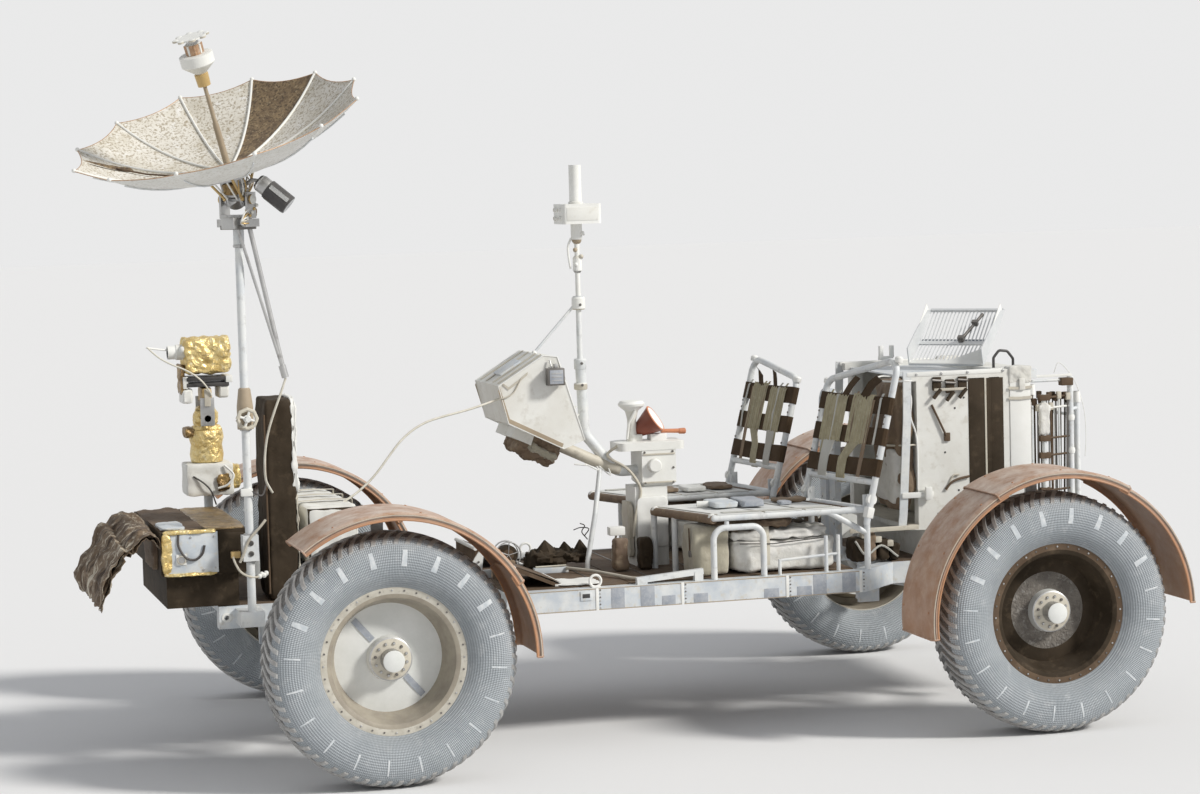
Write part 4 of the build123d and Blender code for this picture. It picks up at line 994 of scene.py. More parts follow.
def make_camera_body():
    """The camera in its foil, with its lens, film box and the rails that it sits on."""
    shape = Shape()
    y = (-414, -286)
    shape.puff((1427, 1596), y, (1262, 1394), "gold", 9, 20, 9, 0.035, 1)
    shape.puff((1590, 1612), (-405, -295), (1190, 1300), "gold_shaded", 5, 8, 7, 0.04, 2)
    lens = [(27, -6, "white"), (27, 22, "bright"), (24, 26), (24, 52, "white"), (20, 52, "glass"), (18, 44),
            (0, 43)]
    shape.lathe((1596, -336, 1342), (1, 0, 0), lens, sides=32)
    shape.ball((1598, -306, 1352), 13, "white", 14)
    shape.tube([(1640, -334, 1350), (1680, -322, 1356), (1724, -308, 1364)], 3.4, "bright", 8)
    for z in (1247, 1226):
        shape.box((1440, 1590), (-410, -288), (z - 7, z + 7), "black", 3)
    shape.box((1428, 1452), (-402, -284), (1232, 1256), "bright", 3)
    shape.box((1584, 1602), (-402, -290), (1214, 1256), "bright", 3)
    for x, low, high, name in ((1568, 1160, 1214, "bright"), (1440, 1176, 1222, "white"),
                               (1500, 1164, 1216, "amber")):
        shape.puff((x, x + 38), (-404, -290), (low, high), name, 8, 5, 2, 0.05, x)
    shape.box((1508, 1530), (-286, -282), (1150, 1212), "cream", 2)
    for edge in (-412, -296):
        shape.box((1495, 1545), (edge, edge + 8), (1080, 1180), "metal", 2)
    piece("camera_body", "camera_head", shape, "camera", angle=28, slot="gold_foil")


def make_camera_neck():
    """Foil round the unit that turns the camera."""
    shape = Shape()
    shape.puff((1475, 1565), (-390, -310), (1061, 1151), "gold", 2.5, 14, 5, 0.06, 5)
    shape.puff((1464, 1572), (-390, -310), (1038, 1084), "gold", 4, 12, 5, 0.045, 7)
    shape.puff((1560, 1602), (-388, -312), (1036, 1076), "gold_shaded", 4, 10, 5, 0.05, 8)
    sleeve = [(56, 0, "gold"), (60, 26), (55, 60), (62, 86), (58, 112), (40, 118)]
    shape.lathe((*STAND, 950.5), (0, 0, 1), sleeve, sides=32)
    shape.lathe((1520, -412, 1106), (0, 1, 0), [(12, 0, "metal"), (12, 124)], sides=16)
    piece("camera_neck", "camera_pan", shape, "camera_pan_unit", angle=28, slot="gold_foil")


def make_camera_base():
    """The camera's stand with its box and leads."""
    shape = Shape()
    shape.puff((1436, 1604), (-419, -281), (832, 949), "white", 16, 12, 3, 0.03, 8)
    shape.tube([(*STAND, FLOOR), (*STAND, 836)], 16, "tube", 16)
    shape.puff((1448, 1500), (-284, -268), (846, 912), "gold_shaded", 4, 8, 8, 0.05, 9)
    shape.cable([(1470, -276, 940), (1440, -264, 905), (1462, -262, 872), (1496, -268, 860)], 4, "bright",
                steps=5)
    shape.cable([(1580, -280, 905), (1545, -270, 880), (1520, -272, 850), (1500, -300, 800)], 3, "wire", 6,
                steps=5)
    shape.puff((1408, 1450), (-360, -300), (850, 940), "gold", 5, 8, 7, 0.04, 11)
    piece("camera_base", "chassis", shape, "camera_stand", angle=28, slot="white_paint")


make_camera_body()
make_camera_neck()
make_camera_base()


# Boxes in front, blanket and the upright panel
NEAR_FACE, FAR_FACE = 380, -310     # sides of the front box


def make_front_box():
    """Foil, fittings and covers on the front box, painted shade on its top and by its near side, and the
    bundle behind it.
    """
    shape = Shape()
    near = NEAR_FACE
    shape.box((1600, 1776), (near + GAP, near + 5), (650, 786), "frame", 1.5)
    for x, z, name in (((1604, 1782), (640, 654), "gold"), ((1604, 1782), (780, 796), "gold"),
                       ((1752, 1790), (650, 788), "gold")):
        shape.puff(x, (near - 12, near + 12), z, name, 4, 10, 4, 0.05, x[0])
    # Painted shade: the dark brown top and the dark gold strip on it.
    shape.puff((1640, 1790), (-300, 372), (784, 800), "brown", 10, 14, 6, 0.025, 4)
    shape.puff((1700, 1786), (180, 372), (792, 806), "frame", 6, 10, 5, 0.03, 9)
    # Near-black block by the near face: painted shade.
    shape.puff((1505, 1596), (360, 384), (645, 780), "cavity", 8, 10, 5, 0.03, 3)
    shape.puff((1784, 1806), (60, 300), (655, 765), "bag_brown", 8, 10, 5, 0.03, 5)
    shape.puff((1500, 1640), (-300, 372), (786, 797), "gold_shaded", 8, 10, 4, 0.03, 6)
    shape.box((1706, 1740), (near + 5, near + 8), (680, 716), "bright", 1.5)
    socket = [(15, 0, "metal"), (15, 5, "cream"), (12, 6), (11, 3, "metal"), (0, 3)]
    shape.lathe((1723, near + 8, 697), (0, 1, 0), socket, sides=24)
    shape.cable([(1730, near + 6, 788), (1731, near + 9, 743), (1709, near + 12, 705),
                 (1679, near + 12, 696), (1654, near + 10, 713), (1645, near + 8, 742)], 4, "wire", 8,
                steps=6)
    for x, z in ((1760, 665), (1612, 665), (1612, 770), (1690, 770), (1650, 660)):
        shape.bolt((x, near + 5, z), (0, 1, 0), 4, 3)
    far = FAR_FACE
    shape.box((1520, 1776), (far - 5, far - GAP), (655, 782), "frame", 1.5)
    shape.puff((1515, 1785), (far - 10, far + 8), (640, 656), "gold", 4, 10, 4, 0.05, 8)
    for x in (1560, 1640, 1720):
        shape.bolt((x, far - 5, 720), (0, -1, 0), 5, 3)
    shape.puff((1110, 1292), (-318, 336), (640, 842), "white", 14, 14, 5, 0.02, 12)
    for y in (-160, 10, 180):
        shape.strip([(1108, y, 640), (1106, y, 846), (1200, y, 850), (1296, y, 846), (1294, y, 640)], 24,
                    (0, 1, 0), "cream", 2)
    piece("front_box_detail", "chassis", shape)


def make_panel_wrap():
    """The upright panel: dark wrap, near-black as painted shade on its dark brown, with pale foil down its
    side towards the seats.
    """
    shape = Shape()
    # Near-black wrap: the panel's dark brown, with painted shade on it.
    shape.puff((1318, 1423), (111, 339), (FLOOR, 1211), "cavity", 14, 26, 5, 0.018, 2)
    for x, z, name, cuts, crumple, seed in (((1312, 1338), (880, 1216), "bright", 26, 7, 3),
                                            ((1313, 1330), (700, 890), "cream", 20, 7, 5)):
        shape.puff(x, (112, 341), z, name, 8, cuts, crumple, 0.03, seed)
    shape.puff((1316, 1324), (114, 341), (545, 710), "cream", 8, 16, 6, 0.03, 6)
    shape.tube([(1424, 341, z) for z in range(560, 1205, 60)], 3, "brown", 6)
    piece("panel_wrap", "chassis", shape, "comms_panel", angle=30, slot="dark_panel")


make_front_box()
make_panel_wrap()

BLANKET_LINE = [(1793, 150, 742), (1806, 150, 790), (1836, 150, 818), (1872, 150, 832), (1908, 150, 822),
                (1940, 150, 788), (1966, 150, 742), (1992, 150, 702), (2016, 150, 662), (2024, 150, 620),
                (2000, 150, 590), (1974, 150, 562)]

BLANKET_NEAR = [(1793, 150, 738), (1800, 150, 772), (1822, 150, 790), (1850, 150, 782), (1878, 150, 756),
                (1902, 150, 722), (1924, 150, 690), (1944, 150, 656), (1962, 150, 622), (1976, 150, 590),
                (1986, 150, 562), (1990, 150, 540)]
# y from, y to, drop under the outer layer, and finish
BLANKET_LAYERS = [(62, 398, 0, "blanket"), (70, 380, -9, "bag_brown"), (90, 392, -18, "blanket")]


def make_blanket():
    """Three crumpled layers of a thermal blanket that hang forward from the front box."""
    line = curve(BLANKET_LINE, 4)
    near_line = curve(BLANKET_NEAR, 4)
    total = sum((b - a).length for a, b in zip(line, line[1:]))
    for number, (low, high, drop, name) in enumerate(BLANKET_LAYERS):
        shape = Shape()

        def point(u, v, low=low, high=high, drop=drop, number=number):
            i = v * (len(line) - 1) * (1 - 0.06 * number)
            a = line[int(i)]
            b = line[min(int(i) + 1, len(line) - 1)]
            near_a, near_b = near_line[int(i)], near_line[min(int(i) + 1, len(line) - 1)]
            spot = a.lerp(b, i - int(i)).lerp(near_a.lerp(near_b, i - int(i)), u ** 0.8)
            along = (b - a).normalized() if (b - a).length else Vector((0, 0, -1))
            out = along.cross(Vector((0, 1, 0))).normalized() * -1
            if out.z < 0 and v < 0.5:
                out = -out
            y = low + (high - low) * u
            place = Vector((u * 3.1, v * 4.3, number * 5.0))
            ease = min(1.0, v * 6)
            fold = 15 * noise.noise(place * 1.9) + 8 * noise.noise(place * 4.6)
            sway = Vector((0, 5 * noise.noise(place * 2), 0))
            return Vector((spot.x, y, spot.z)) + out * (fold * ease + drop * ease) + sway
        shape.grid(point, 30, 44, name, size=(0.34, total / 1000))
        made = piece(f"thermal_blanket_{number}", "chassis", shape,
                     *(["dust_blanket"] if number == 0 else []), angle=60, slot="blanket_foil")
        thick = made.modifiers.new("thickness", "SOLIDIFY")
        thick.thickness = 0.0015
        thick.offset = 0


make_blanket()


# Frame rails and what is on them
RAIL = (452, 528)
RAIL_Y = 500            # outer face of a centre rail
DECK_Y = 350            # outer face of a forward or rear rail
# grey patches on a centre rail: x from, x to, height share from, to
PATCHES = [(236, 283, 0, 1), (129, 179, 0, 1), (55, 103, 0, 0.45), (-62, -11, 0, 0.45),
           (-320, -266, 0, 0.45), (-440, -386, 0, 0.45), (-495, -446, 0, 1), (-603, -553, 0, 1)]
JOINTS = (333, 29, -351, -622)


def make_rail_detail(name, sign):
    """Patches, joints, rivets and fittings on the rails of one side."""
    shape = Shape()

    def out(low, high):
        return sided(sign, RAIL_Y + low, RAIL_Y + high)
    for x0, x1, low, high in PATCHES:
        z = (RAIL[0] + 3 + low * 70, RAIL[0] + 3 + high * 70)
        shape.box((x0, x1), out(GAP - 0.6, 0.9), z, "patch", 0.2)
    for x in JOINTS:
        shape.box((x - 5, x + 5), out(-0.2, 2.2), (RAIL[0], RAIL[1]), "bright", 0.8)
        for i in range(6):
            shape.bolt((x - 11, sign * RAIL_Y, RAIL[0] + 8 + i * 12), (0, sign, 0), 3, 2.4,
                       "steel" if i % 2 else "metal")
    for x in range(-600, 640, 40):
        for z in (RAIL[0] + 4, RAIL[1] - 4):
            shape.bolt((x, sign * RAIL_Y, z), (0, sign, 0), 1.8, 1.2, "metal", 6)
    shape.box((352, 392), out(0, 3), (488, 520), "frame", 1)
    shape.box((359, 385), out(3, 3.8), (497, 511), "black", 5)
    shape.box((622, 650), out(0, 4), (448, 530), "frame", 1)
    for z in (462, 480, 500, 518):
        shape.bolt((636, sign * (RAIL_Y + 4), z), (0, sign, 0), 4, 3, "steel")
    ring = hoop((332, sign * 478, 550), 20, 20)
    shape.tube(ring, 4.6, "bright", 8, caps=False)
    for low in (0.5, 72):
        shape.box((-620, 640), out(-0.2, 0.7), (RAIL[0] + low, RAIL[0] + low + 3), "tan", 0.2)
    shape.box((316, 348), sided(sign, 466, 490), (RAIL[1], RAIL[1] + 5), "bright", 1)
    for x in range(900, 1560, 90):
        shape.bolt((x, sign * DECK_Y, 470), (0, sign, 0), 2.5, 1.6, "metal", 6)
        shape.bolt((-x, sign * DECK_Y, 470), (0, sign, 0), 2.5, 1.6, "metal", 6)
    for x, z in ((1575, 490), (-1500, 490)):
        shape.lathe((x, sign * DECK_Y, z), (0, sign, 0), [(16, 0, "bright"), (16, 2), (8.2, 2.2, "metal")],
                    sides=20, ends=False)
    piece(f"rail_detail_{name}", "chassis", shape)


def make_deck_detail():
    """Patches on the deck's edges, and the leads and boxes on the decks."""
    shape = Shape()
    for sign in (1, -1):
        for x0, x1 in ((690, 845), (-1380, -1180)):
            shape.box((x0, x1), sided(sign, DECK_Y + 0.3, DECK_Y + 6), (462, 518), "patch", 1)
    for x in (700, 1000, 1300, -1000, -1300):
        shape.cable([(x, -290, DECK + 5), (x + 30, -120, 540), (x - 14, 60, 539), (x + 18, 290, 538)], 4,
                    "cream", steps=6)
    shape.puff((700, 800), (100, 240), (DECK, 584), "frame", 10, 8, 3, 0.03, 2)
    shape.puff((880, 1030), (-200, 40), (DECK, 600), "cream", 8, 10, 5, 0.03, 3)
    piece("deck_detail", "chassis", shape)


for name, sign in LEFT_RIGHT.items():
    make_rail_detail(name, sign)
make_deck_detail()


# Console, controls and the column
NEAR_SIDE = 170         # the console's side face
BAG_LEAN = turned(-26, "Y", 3)          # the bag hangs under the console's sloping under side
TOP_LEAN = turned(31, "Y", 3)


def make_console():
    """Straps, gauge and edging on the console, a tan band of painted shade along the front edge of each
    side, the bag under it and its instrument face.
    """
    shape = Shape()
    near = NEAR_SIDE
    shape.box((348, 408), (near + 8, near + 46), (1202, 1262), "steel", 2)
    shape.box((354, 402), (near + 46, near + 48), (1208, 1256), "patch", 1)
    for z in (1220, 1232, 1244):
        shape.box((360, 396), (near + 48, near + 48.8), (z - 2, z + 2), "metal", 0.3)
    shape.tube([(388, near + 20, 1262), (392, near + 8, 1290)], 3, "metal", 8)
    shape.box((368, 380), (near + 10, near + 30), (1262, 1276), "metal", 1)
    shape.puff((330, 500), (-118, 118), (926, 1034), "bag_brown", 4, 18, 16, 0.03, 4, turn=BAG_LEAN)
    shape.puff((345, 480), (-100, 128), (940, 990), "bag", 4, 14, 14, 0.04, 9, turn=BAG_LEAN)
    edge = [(575, 1206), (542, 1073), (347, 977), (270, 1004), (362, 1299), (411, 1305), (575, 1206)]
    for sign in (1, -1):
        shape.tube([(x, sign * (near + 0.5), z) for x, z in edge], 2.2, "bright", 6, caps=False)
        # A tan band along the front edge of each side: painted shade.
        shape.strip([(574, sign * (near + 1), 1196), (541, sign * (near + 1), 1084),
                     (350, sign * (near + 1), 988)], 14, (-0.4, 0, 0.9), "tan", 1.6)
    shape.strip([(560, near + 1.5, 1212), (540, near + 2.5, 1196), (500, near + 2.5, 1222),
                 (470, near + 1.5, 1246)], 9, (0, 0, 1), "cream", 1.4)
    shape.cable([(575, near + 3, 1160), (545, near + 6, 1168), (520, near + 4, 1185),
                 (495, near + 4, 1228)], 2.4, "cream", 6, steps=5)
    for y in (-120, -40, 60, 130):
        shape.strip([(568, y, 1213), (500, y, 1254), (420, y, 1302), (410, y, 1308)], 14, (0, 1, 0),
                    "cream", 1.6)
    shape.box((452, 540), (-60, 40), (1252, 1262), "frame", 2, turn=TOP_LEAN)
    # the instrument face, towards the seats
    up = Vector((77, 0, 250)).normalized()
    out = Vector((-up.z, 0, up.x))
    corner = Vector((270, 0, 1027.5))

    def on(y, height, lift=0.0):
        return corner + Vector((0, y, 0)) + up * height + out * lift
    for y, height, radius in ((-95, 205, 34), (0, 205, 30), (95, 205, 34), (-60, 128, 20), (60, 128, 20)):
        dial = [(radius, 0, "metal"), (radius, 6, "steel"), (radius - 4, 7, "black"),
                (radius - 5, 4, "glass"), (0, 4)]
        shape.lathe(on(y, height, 0.2), out, dial, sides=32)
        shape.tube([on(y, height, 5), on(y + radius * 0.3, height + radius * 0.5, 5)], 1.2, "bright", 6)
    for row, count in ((85, 9), (55, 9), (25, 7)):
        for number in range(count):
            y = (number - (count - 1) / 2) * 29
            shape.lathe(on(y, row, 0.2), out, [(7, 0, "metal"), (7, 2), (3, 3)], sides=12)
            shape.tube([on(y, row, 2), on(y, row + 6, 15)], [2.2, 3], "bright", 8)
    shape.box((268, 276), (-150, 150), (1010, 1018), "steel", 1)
    piece("console_detail", "chassis", shape, "console_gauge")


def make_controller():
    """The hand controller: a mushroom grip, a red horn with an orange rim and an orange lever."""
    shape = Shape()
    x, top = 48, 973
    grip = [(24, 0, "white"), (22, 8), (17, 20), (16, 78), (22, 104), (24, 110, "bright"), (46, 128),
            (48, 136), (40, 146), (0, 150)]
    shape.lathe((x, 0, top), (0, 0, 1), grip, sides=28)
    shape.box((x - 34, x + 6), (-20, 20), (top, top + 26), "white", 4)
    tip, disc = Vector((36, -16, 1000)), Vector((-34, 20, 1053))
    along = (disc - tip).normalized()
    length = (disc - tip).length
    shape.lathe(tip, along, [(12, -6, "red_brown"), (20, 6), (38, length * 0.6), (50, length - 5),
                             (53, length, "orange"), (51, length + 3), (46, length + 2.5, "bright"),
                             (0, length + 2.5)], sides=32)
    shape.tube([(tip.x + 6, 30, 1086), (tip.x + 30, 24, 1040), (tip.x + 34, 12, 985)], 5, "bright", 8)
    shape.box((-74, -14), (-26, 26), (top, top + 26), "bright", 4)
    shape.tube([(-60, 0, 1006), (-150, 0, 1002)], [7, 8.5], "orange", 12)
    shape.lathe((-128, 0, 1002), (-1, 0, 0), [(10, 0, "orange"), (11, 20), (8, 24)], sides=16)
    piece("controller_grip", "chassis", shape, "hand_controller", slot="white_paint")


def make_controls():
    """Knob, fittings, wrap and leads on the control pedestal."""
    shape = Shape()
    shape.lathe((-10, 70, 890), (0, 1, 0), [(26, 0, "white"), (24, 6), (24, 18, "bright"), (20, 21)],
                sides=28)
    for z in (830, 930):
        shape.box((-88, 30), (70, 73), (z - 3, z + 3), "cream", 1)
    for x, z in ((-80, 828), (24, 828), (-80, 938), (24, 938), (-82, 880)):
        shape.bolt((x, 70.3, z), (0, 1, 0), 4, 4, "steel")
        shape.bolt((x, -70.3, z), (0, -1, 0), 4, 4, "steel")
    shape.puff((-128, 112), (-71, 71), (960, 976), "bright", 10, 10, 2, 0.03, 5)
    shape.cable([(112, 40, 966), (150, 30, 930), (96, 66, 890), (60, 62, 850), (40, 66, 800), (62, 70, 720),
                 (70, 66, 640)], 5, "cream", steps=5)
    shape.puff((-58, 58), (61, 76), (600, 780), "bright", 8, 8, 4, 0.03, 7)
    shape.puff((62, 84), (-50, 50), (560, 760), "cream", 8, 8, 4, 0.03, 8)
    shape.tube([(100, 0, 874), (200, 8, 916), (330, 8, 978)], 21, "cream", 12)
    for number in range(3):
        shape.cable([(150 + 40 * number, 18, 900), (140 + 44 * number, 24, 860 + 20 * number),
                     (190 + 40 * number, 20, 905)], 2.6, "bright", 6)
    piece("controls_detail", "chassis", shape)


make_console()
make_controller()
make_controls()

COLUMN_X = 233


def make_column():
    """Collars on the column between the seats."""
    shape = Shape()
    x = COLUMN_X
    shape.lathe((x, 0, 1168), (0, 0, 1), [(22, 0, "cream"), (24, 3), (24, 20, "white"), (21, 24)], sides=24)
    shape.lathe((x, 0, 1240), (0, 0, 1), [(20, 0, "tube"), (22, 4), (22, 34), (19, 38)], sides=24)
    shape.lathe((x, 0, 1452), (0, 0, 1), [(21, 0, "cream"), (24, 4, "bright"), (24, 40), (19, 46)], sides=24)
    for z in (1185, 1262, 1470):
        shape.bolt((x, 22, z), (0, 1, 0), 5, 5, "steel")
    shape.ball((x + 14, 0, 1470), 8, "bright")
    shape.ball((400, 0, 1306), 9, "bright")
    piece("column_detail", "chassis", shape)


def make_antenna():
    """Fittings, leads and the top cap of the low-gain antenna."""
    shape = Shape()
    x = COLUMN_X
    for y in (-30, 30):
        for z in (1776, 1806):
            shape.lathe((x + 65, y, z), (1, 0, 0), [(9, 0, "bright"), (9, 7), (6, 9, "cream")], sides=14)
    shape.lathe((x, 0, 1826), (0, 0, 1), [(26, -0.5, "white"), (26, 6), (22.4, 9, "bright")], sides=28)
    shape.box((x - 62, x + 52), (69, 71.5), (1768, 1814), "white", 3)
    shape.ball((x, 0, 1700), 18, "tan", 16)
    for number, (dx, z) in enumerate(((-18, 1722), (10, 1664), (-12, 1640), (8, 1612))):
        shape.ball((x + dx, 12, z), 8, ("bright", "tan", "cream", "bright")[number], 12)
        shape.tube([(x, 0, z), (x + dx * 1.4, 14, z - 6)], 3, "metal", 6)
    shape.cable([(x + 20, 0, 1706), (x + 34, 4, 1672), (x + 30, 6, 1620), (x + 26, 4, 1598)], 4, "bright")
    shape.lathe((x, 0, 1590), (0, 0, 1), [(10, -8, "metal"), (16, 0, "bright"), (16, 44, "cream"),
                                          (10, 52, "metal")], sides=20)
    piece("antenna_detail", "low_gain", shape)


make_column()
make_antenna()


# Seats
SEAT_Z = 738
LAP = SEAT_Z + 15       # top of the pan's cloth
BACK_Z = 775            # height of the pivots of the seat backs
BACK_LEAN = -15
# place of the back's middle, slant and half width, x of the pan's front corners, heights of the back's
# posts on the inboard and outboard side, and y of the pan's outboard front corner
SEATS = {
    "left": dict(x=-617, y=305, slant=13.7, half=175, front=(15, -100), posts=(405, 500), reach=468),
    "right": dict(x=-516, y=-340, slant=9.2, half=152, front=(-20, 75), posts=(394, 457), reach=-468),
}
# shares of the back's width, from the inboard post, for a wide strap and its narrow tail
BACK_STRAPS = [(0.10, 0.42, 0.17, 0.30), (0.50, 0.80, 0.45, 0.58)]
PAN_PANELS = [(0.015, 0.305), (0.325, 0.565), (0.59, 0.82)]     # shares of the pan, from its front


def make_seat_back(name, sign):
    """Bands round the back's posts, pleated straps in front of them, their tails and the posts' fittings."""
    seat = SEATS[name]
    place = Matrix.Translation((seat["x"], seat["y"], BACK_Z))
    shape = Shape(place @ turned(seat["slant"], "Z") @ turned(BACK_LEAN, "Y"))
    wide = seat["half"] + 30
    length_in, length_out = seat["posts"]
    for z in (110, 220, 330):
        path = [(-13, 44 - wide, z), (-13.5, 8 - wide, z), (-10, -wide - 9, z), (0, -wide - 13.5, z),
                (10, -wide - 9, z), (13.5, 4 - wide, z)]
        middle = [(13.5 + 0.4 * sin(pi * i / 8), -wide + 2 * wide * i / 8, z - 3 * sin(pi * i / 8))
                  for i in range(1, 8)]
        path = path + middle + [(x, -y, z) for x, y, z in reversed(path)]
        shape.strip(path, 62, (0, 0, 1), "band", 1.8)
    for number, (low, high, thin_low, thin_high) in enumerate(BACK_STRAPS):
        def side_y(share):
            return -sign * wide + sign * 2 * wide * share
        middle, width = side_y((low + high) / 2), abs(side_y(high) - side_y(low))
        thin, thin_w = side_y((thin_low + thin_high) / 2), abs(side_y(thin_high) - side_y(thin_low))
        top = 352 + 10 * number
        path = [(8, middle, top), (14, middle, top + 2), (17.2, middle, 340), (17.2, middle, 300),
                (17, middle, 262), (17.2, middle, 226), (17, middle, 192), (13, middle, 186)]

        def pleat(u, v):
            return 1.2 * cos(2 * pi * 7 * u) + 1.1 * noise.noise(Vector((u * 4, v * 5, number)))
        shape.strip(path, width, (0, 1, 0), "strap", 1.6, 42, pleat)
        low_path = [(12, middle, 205), (16, middle + (thin - middle) * 0.3, 180), (17, thin, 130),
                    (16, thin, 90), (12, thin, 62), (0, thin, 47), (-11, thin, 60)]
        low_widths = [width * 0.72, width * 0.5] + [thin_w] * 5
        shape.strip(low_path, low_widths, (0, 1, 0), "strap_pale" if number == 0 else "strap", 1.8, 4)

    def at(x, share, z):
        return (x, sign * wide * share, z)
    shape.strip([at(16, 0.30, 352), at(15, 0.45, 400), at(12, 0.62, length_in + 20)], 46, (0, 1, -0.4),
                "band", 1.8, 2)
    shape.strip([at(14, -0.30, 350), at(13, -0.18, 390), at(8, -0.05, length_in + 18)], 34, (0, 1, -0.3),
                "band", 1.8, 2)
    shape.strip([at(16, 0.60, 346), at(17, 0.58, 200), at(14, 0.56, 70)], 22, (0, 1, 0), "bag_brown", 1.6, 2)
    for number, share in enumerate((-0.72, -0.5, 0.05, 0.2, 0.8)):
        path = [at(6, share, 372), at(17, share + 0.02, 350), at(18, share + 0.05, 250),
                at(15, share + 0.03, 140 + 12 * number)]
        shape.strip(path, 11, (0, 1, 0), ("strap", "strap_pale", "bag_brown")[number % 3], 1.6, 2)
    cap = [(13, 0, "bright"), (15, 6), (15, 16), (9, 22)]
    for y, length in ((sign * wide, length_out), (-sign * wide, length_in)):
        shape.lathe((0, y, length - 14), (0, 0, 1), cap, sides=16)
        for z in (150, 265, 290):
            shape.bolt((12, y, z), (1, 0, 0), 4, 2.5, "steel")
    shape.box((-14, 14), (sign * wide - 14, sign * wide + 14), (-66, -28), "bright", 4)
    for y in (sign * wide, -sign * wide):
        shape.lathe((0, y, 0), (0, 1, 0), [(19, -7, "bright"), (19, 7)], sides=20)
    piece(f"seat_back_straps_{name}", f"seat_back_{name}", shape, f"seat_back_webbing_{name}", angle=40,
          slot="webbing")


def make_seat_pan(name, sign):
    """The pan's three cloth panels with their hems, and the rolls and strap on it."""
    seat = SEATS[name]
    shape = Shape()
    half, slant = seat["half"], radians(seat["slant"])
    rear_in = (seat["x"] + sign * half * sin(slant), seat["y"] - sign * half * cos(slant))
    rear_out = (seat["x"] - sign * half * sin(slant), seat["y"] + sign * half * cos(slant))
    front_in, front_out = (seat["front"][0], rear_in[1]), (seat["front"][1], seat["reach"])

    def on(u, v, z):
        """u from inboard to outboard, v from front to rear."""
        front = [a + (b - a) * u for a, b in zip(front_in, front_out)]
        rear = [a + (b - a) * u for a, b in zip(rear_in, rear_out)]
        return Vector((front[0] + (rear[0] - front[0]) * v, front[1] + (rear[1] - front[1]) * v, z))
    for start, stop in PAN_PANELS:
        for z in (SEAT_Z + 13.4, SEAT_Z + 11.8):
            def sunk(u, v):
                dip = 4 * sin(pi * u) * sin(pi * v)
                return on(u * 1.04 - 0.02, start + (stop - start) * v, z + 0.8 - dip)
            shape.grid(sunk, 14, 8, "panel", size=(0.35, 0.15))
        for u in (-0.02, 1.02):
            shape.tube([on(u, start, SEAT_Z + 12), on(u, stop, SEAT_Z + 12)], 2.2, "panel", 6)
        for v in (start, stop):
            hem = [on(u / 8 * 1.04 - 0.02, v, SEAT_Z + 12.6 - 2 * sin(pi * u / 8)) for u in range(9)]
            shape.tube(hem, 2.0, "cream", 6)
    shape.tube([on(0, 0, SEAT_Z - 4), on(1, 0, SEAT_Z - 4)], 16, "bag_brown", 12)
    shape.tube([on(0, 0.87, SEAT_Z), on(1, 0.87, SEAT_Z)], 14, "brown", 10)
    shape.strip([on(0.93, 0.08, LAP + 0.6), on(0.96, 0.5, LAP + 0.8), on(0.93, 0.8, LAP + 0.6)], 30,
                (0, 1, 0), "strap_pale", 1.8, 2)
    for u in (0.03, 0.97):
        shape.ball(on(u, 0.0, SEAT_Z), 15.5, "bright", 14)
    replaced = ["seat_pan_webbing"] if sign > 0 else []
    piece(f"seat_pan_cover_{name}", "chassis", shape, *replaced, angle=40, slot="webbing")


# puffs of each bundle: x, y, heights over the lap, finish, and power, cuts, crumple, scale and seed
BUNDLES = {
    "left": [((-240, -150), (180, 330), (0, 22), "frame", 9, 8, 2, 0.03, 2),
             ((-330, -245), (200, 345), (0, 26), "patch", 9, 8, 2, 0.03, 3),
             ((-520, -400), (180, 262), (-3, 14), "bag_brown", 5, 8, 5, 0.04, 4),
             ((-440, -395), (270, 318), (-3, 12), "patch", 6, 6, 2, 0.04, 5)],
    "right": [((-200, -60), (-330, -230), (0, 18), "bag_brown", 5, 8, 5, 0.04, 6),
              ((-300, -215), (-330, -220), (0, 20), "bright", 6, 8, 3, 0.04, 7),
              ((-420, -330), (-400, -260), (-3, 16), "bag_brown", 5, 8, 5, 0.04, 8),
              ((-130, -80), (-260, -190), (0, 20), "patch", 6, 6, 2, 0.04, 9)],
}


def make_belts(name):
    """Belt ends and rolled straps that lie on the pan and flatten under the folded back."""
    shape = Shape()
    for number, (x, y, (low, high), *looks) in enumerate(BUNDLES[name]):
        shape.puff(x, y, (LAP + low, LAP + high), *looks)
        if name == "left" and number == 1:
            shape.tube([(-152, 250, LAP + 10), (-112, 240, LAP + 10)], 11, "bright", 14)
    made = piece(f"belt_bundle_{name}", "chassis", shape, angle=35, slot="webbing")
    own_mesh(made)


for name, sign in LEFT_RIGHT.items():
    make_seat_back(name, sign)
    make_seat_pan(name, sign)
    make_belts(name)


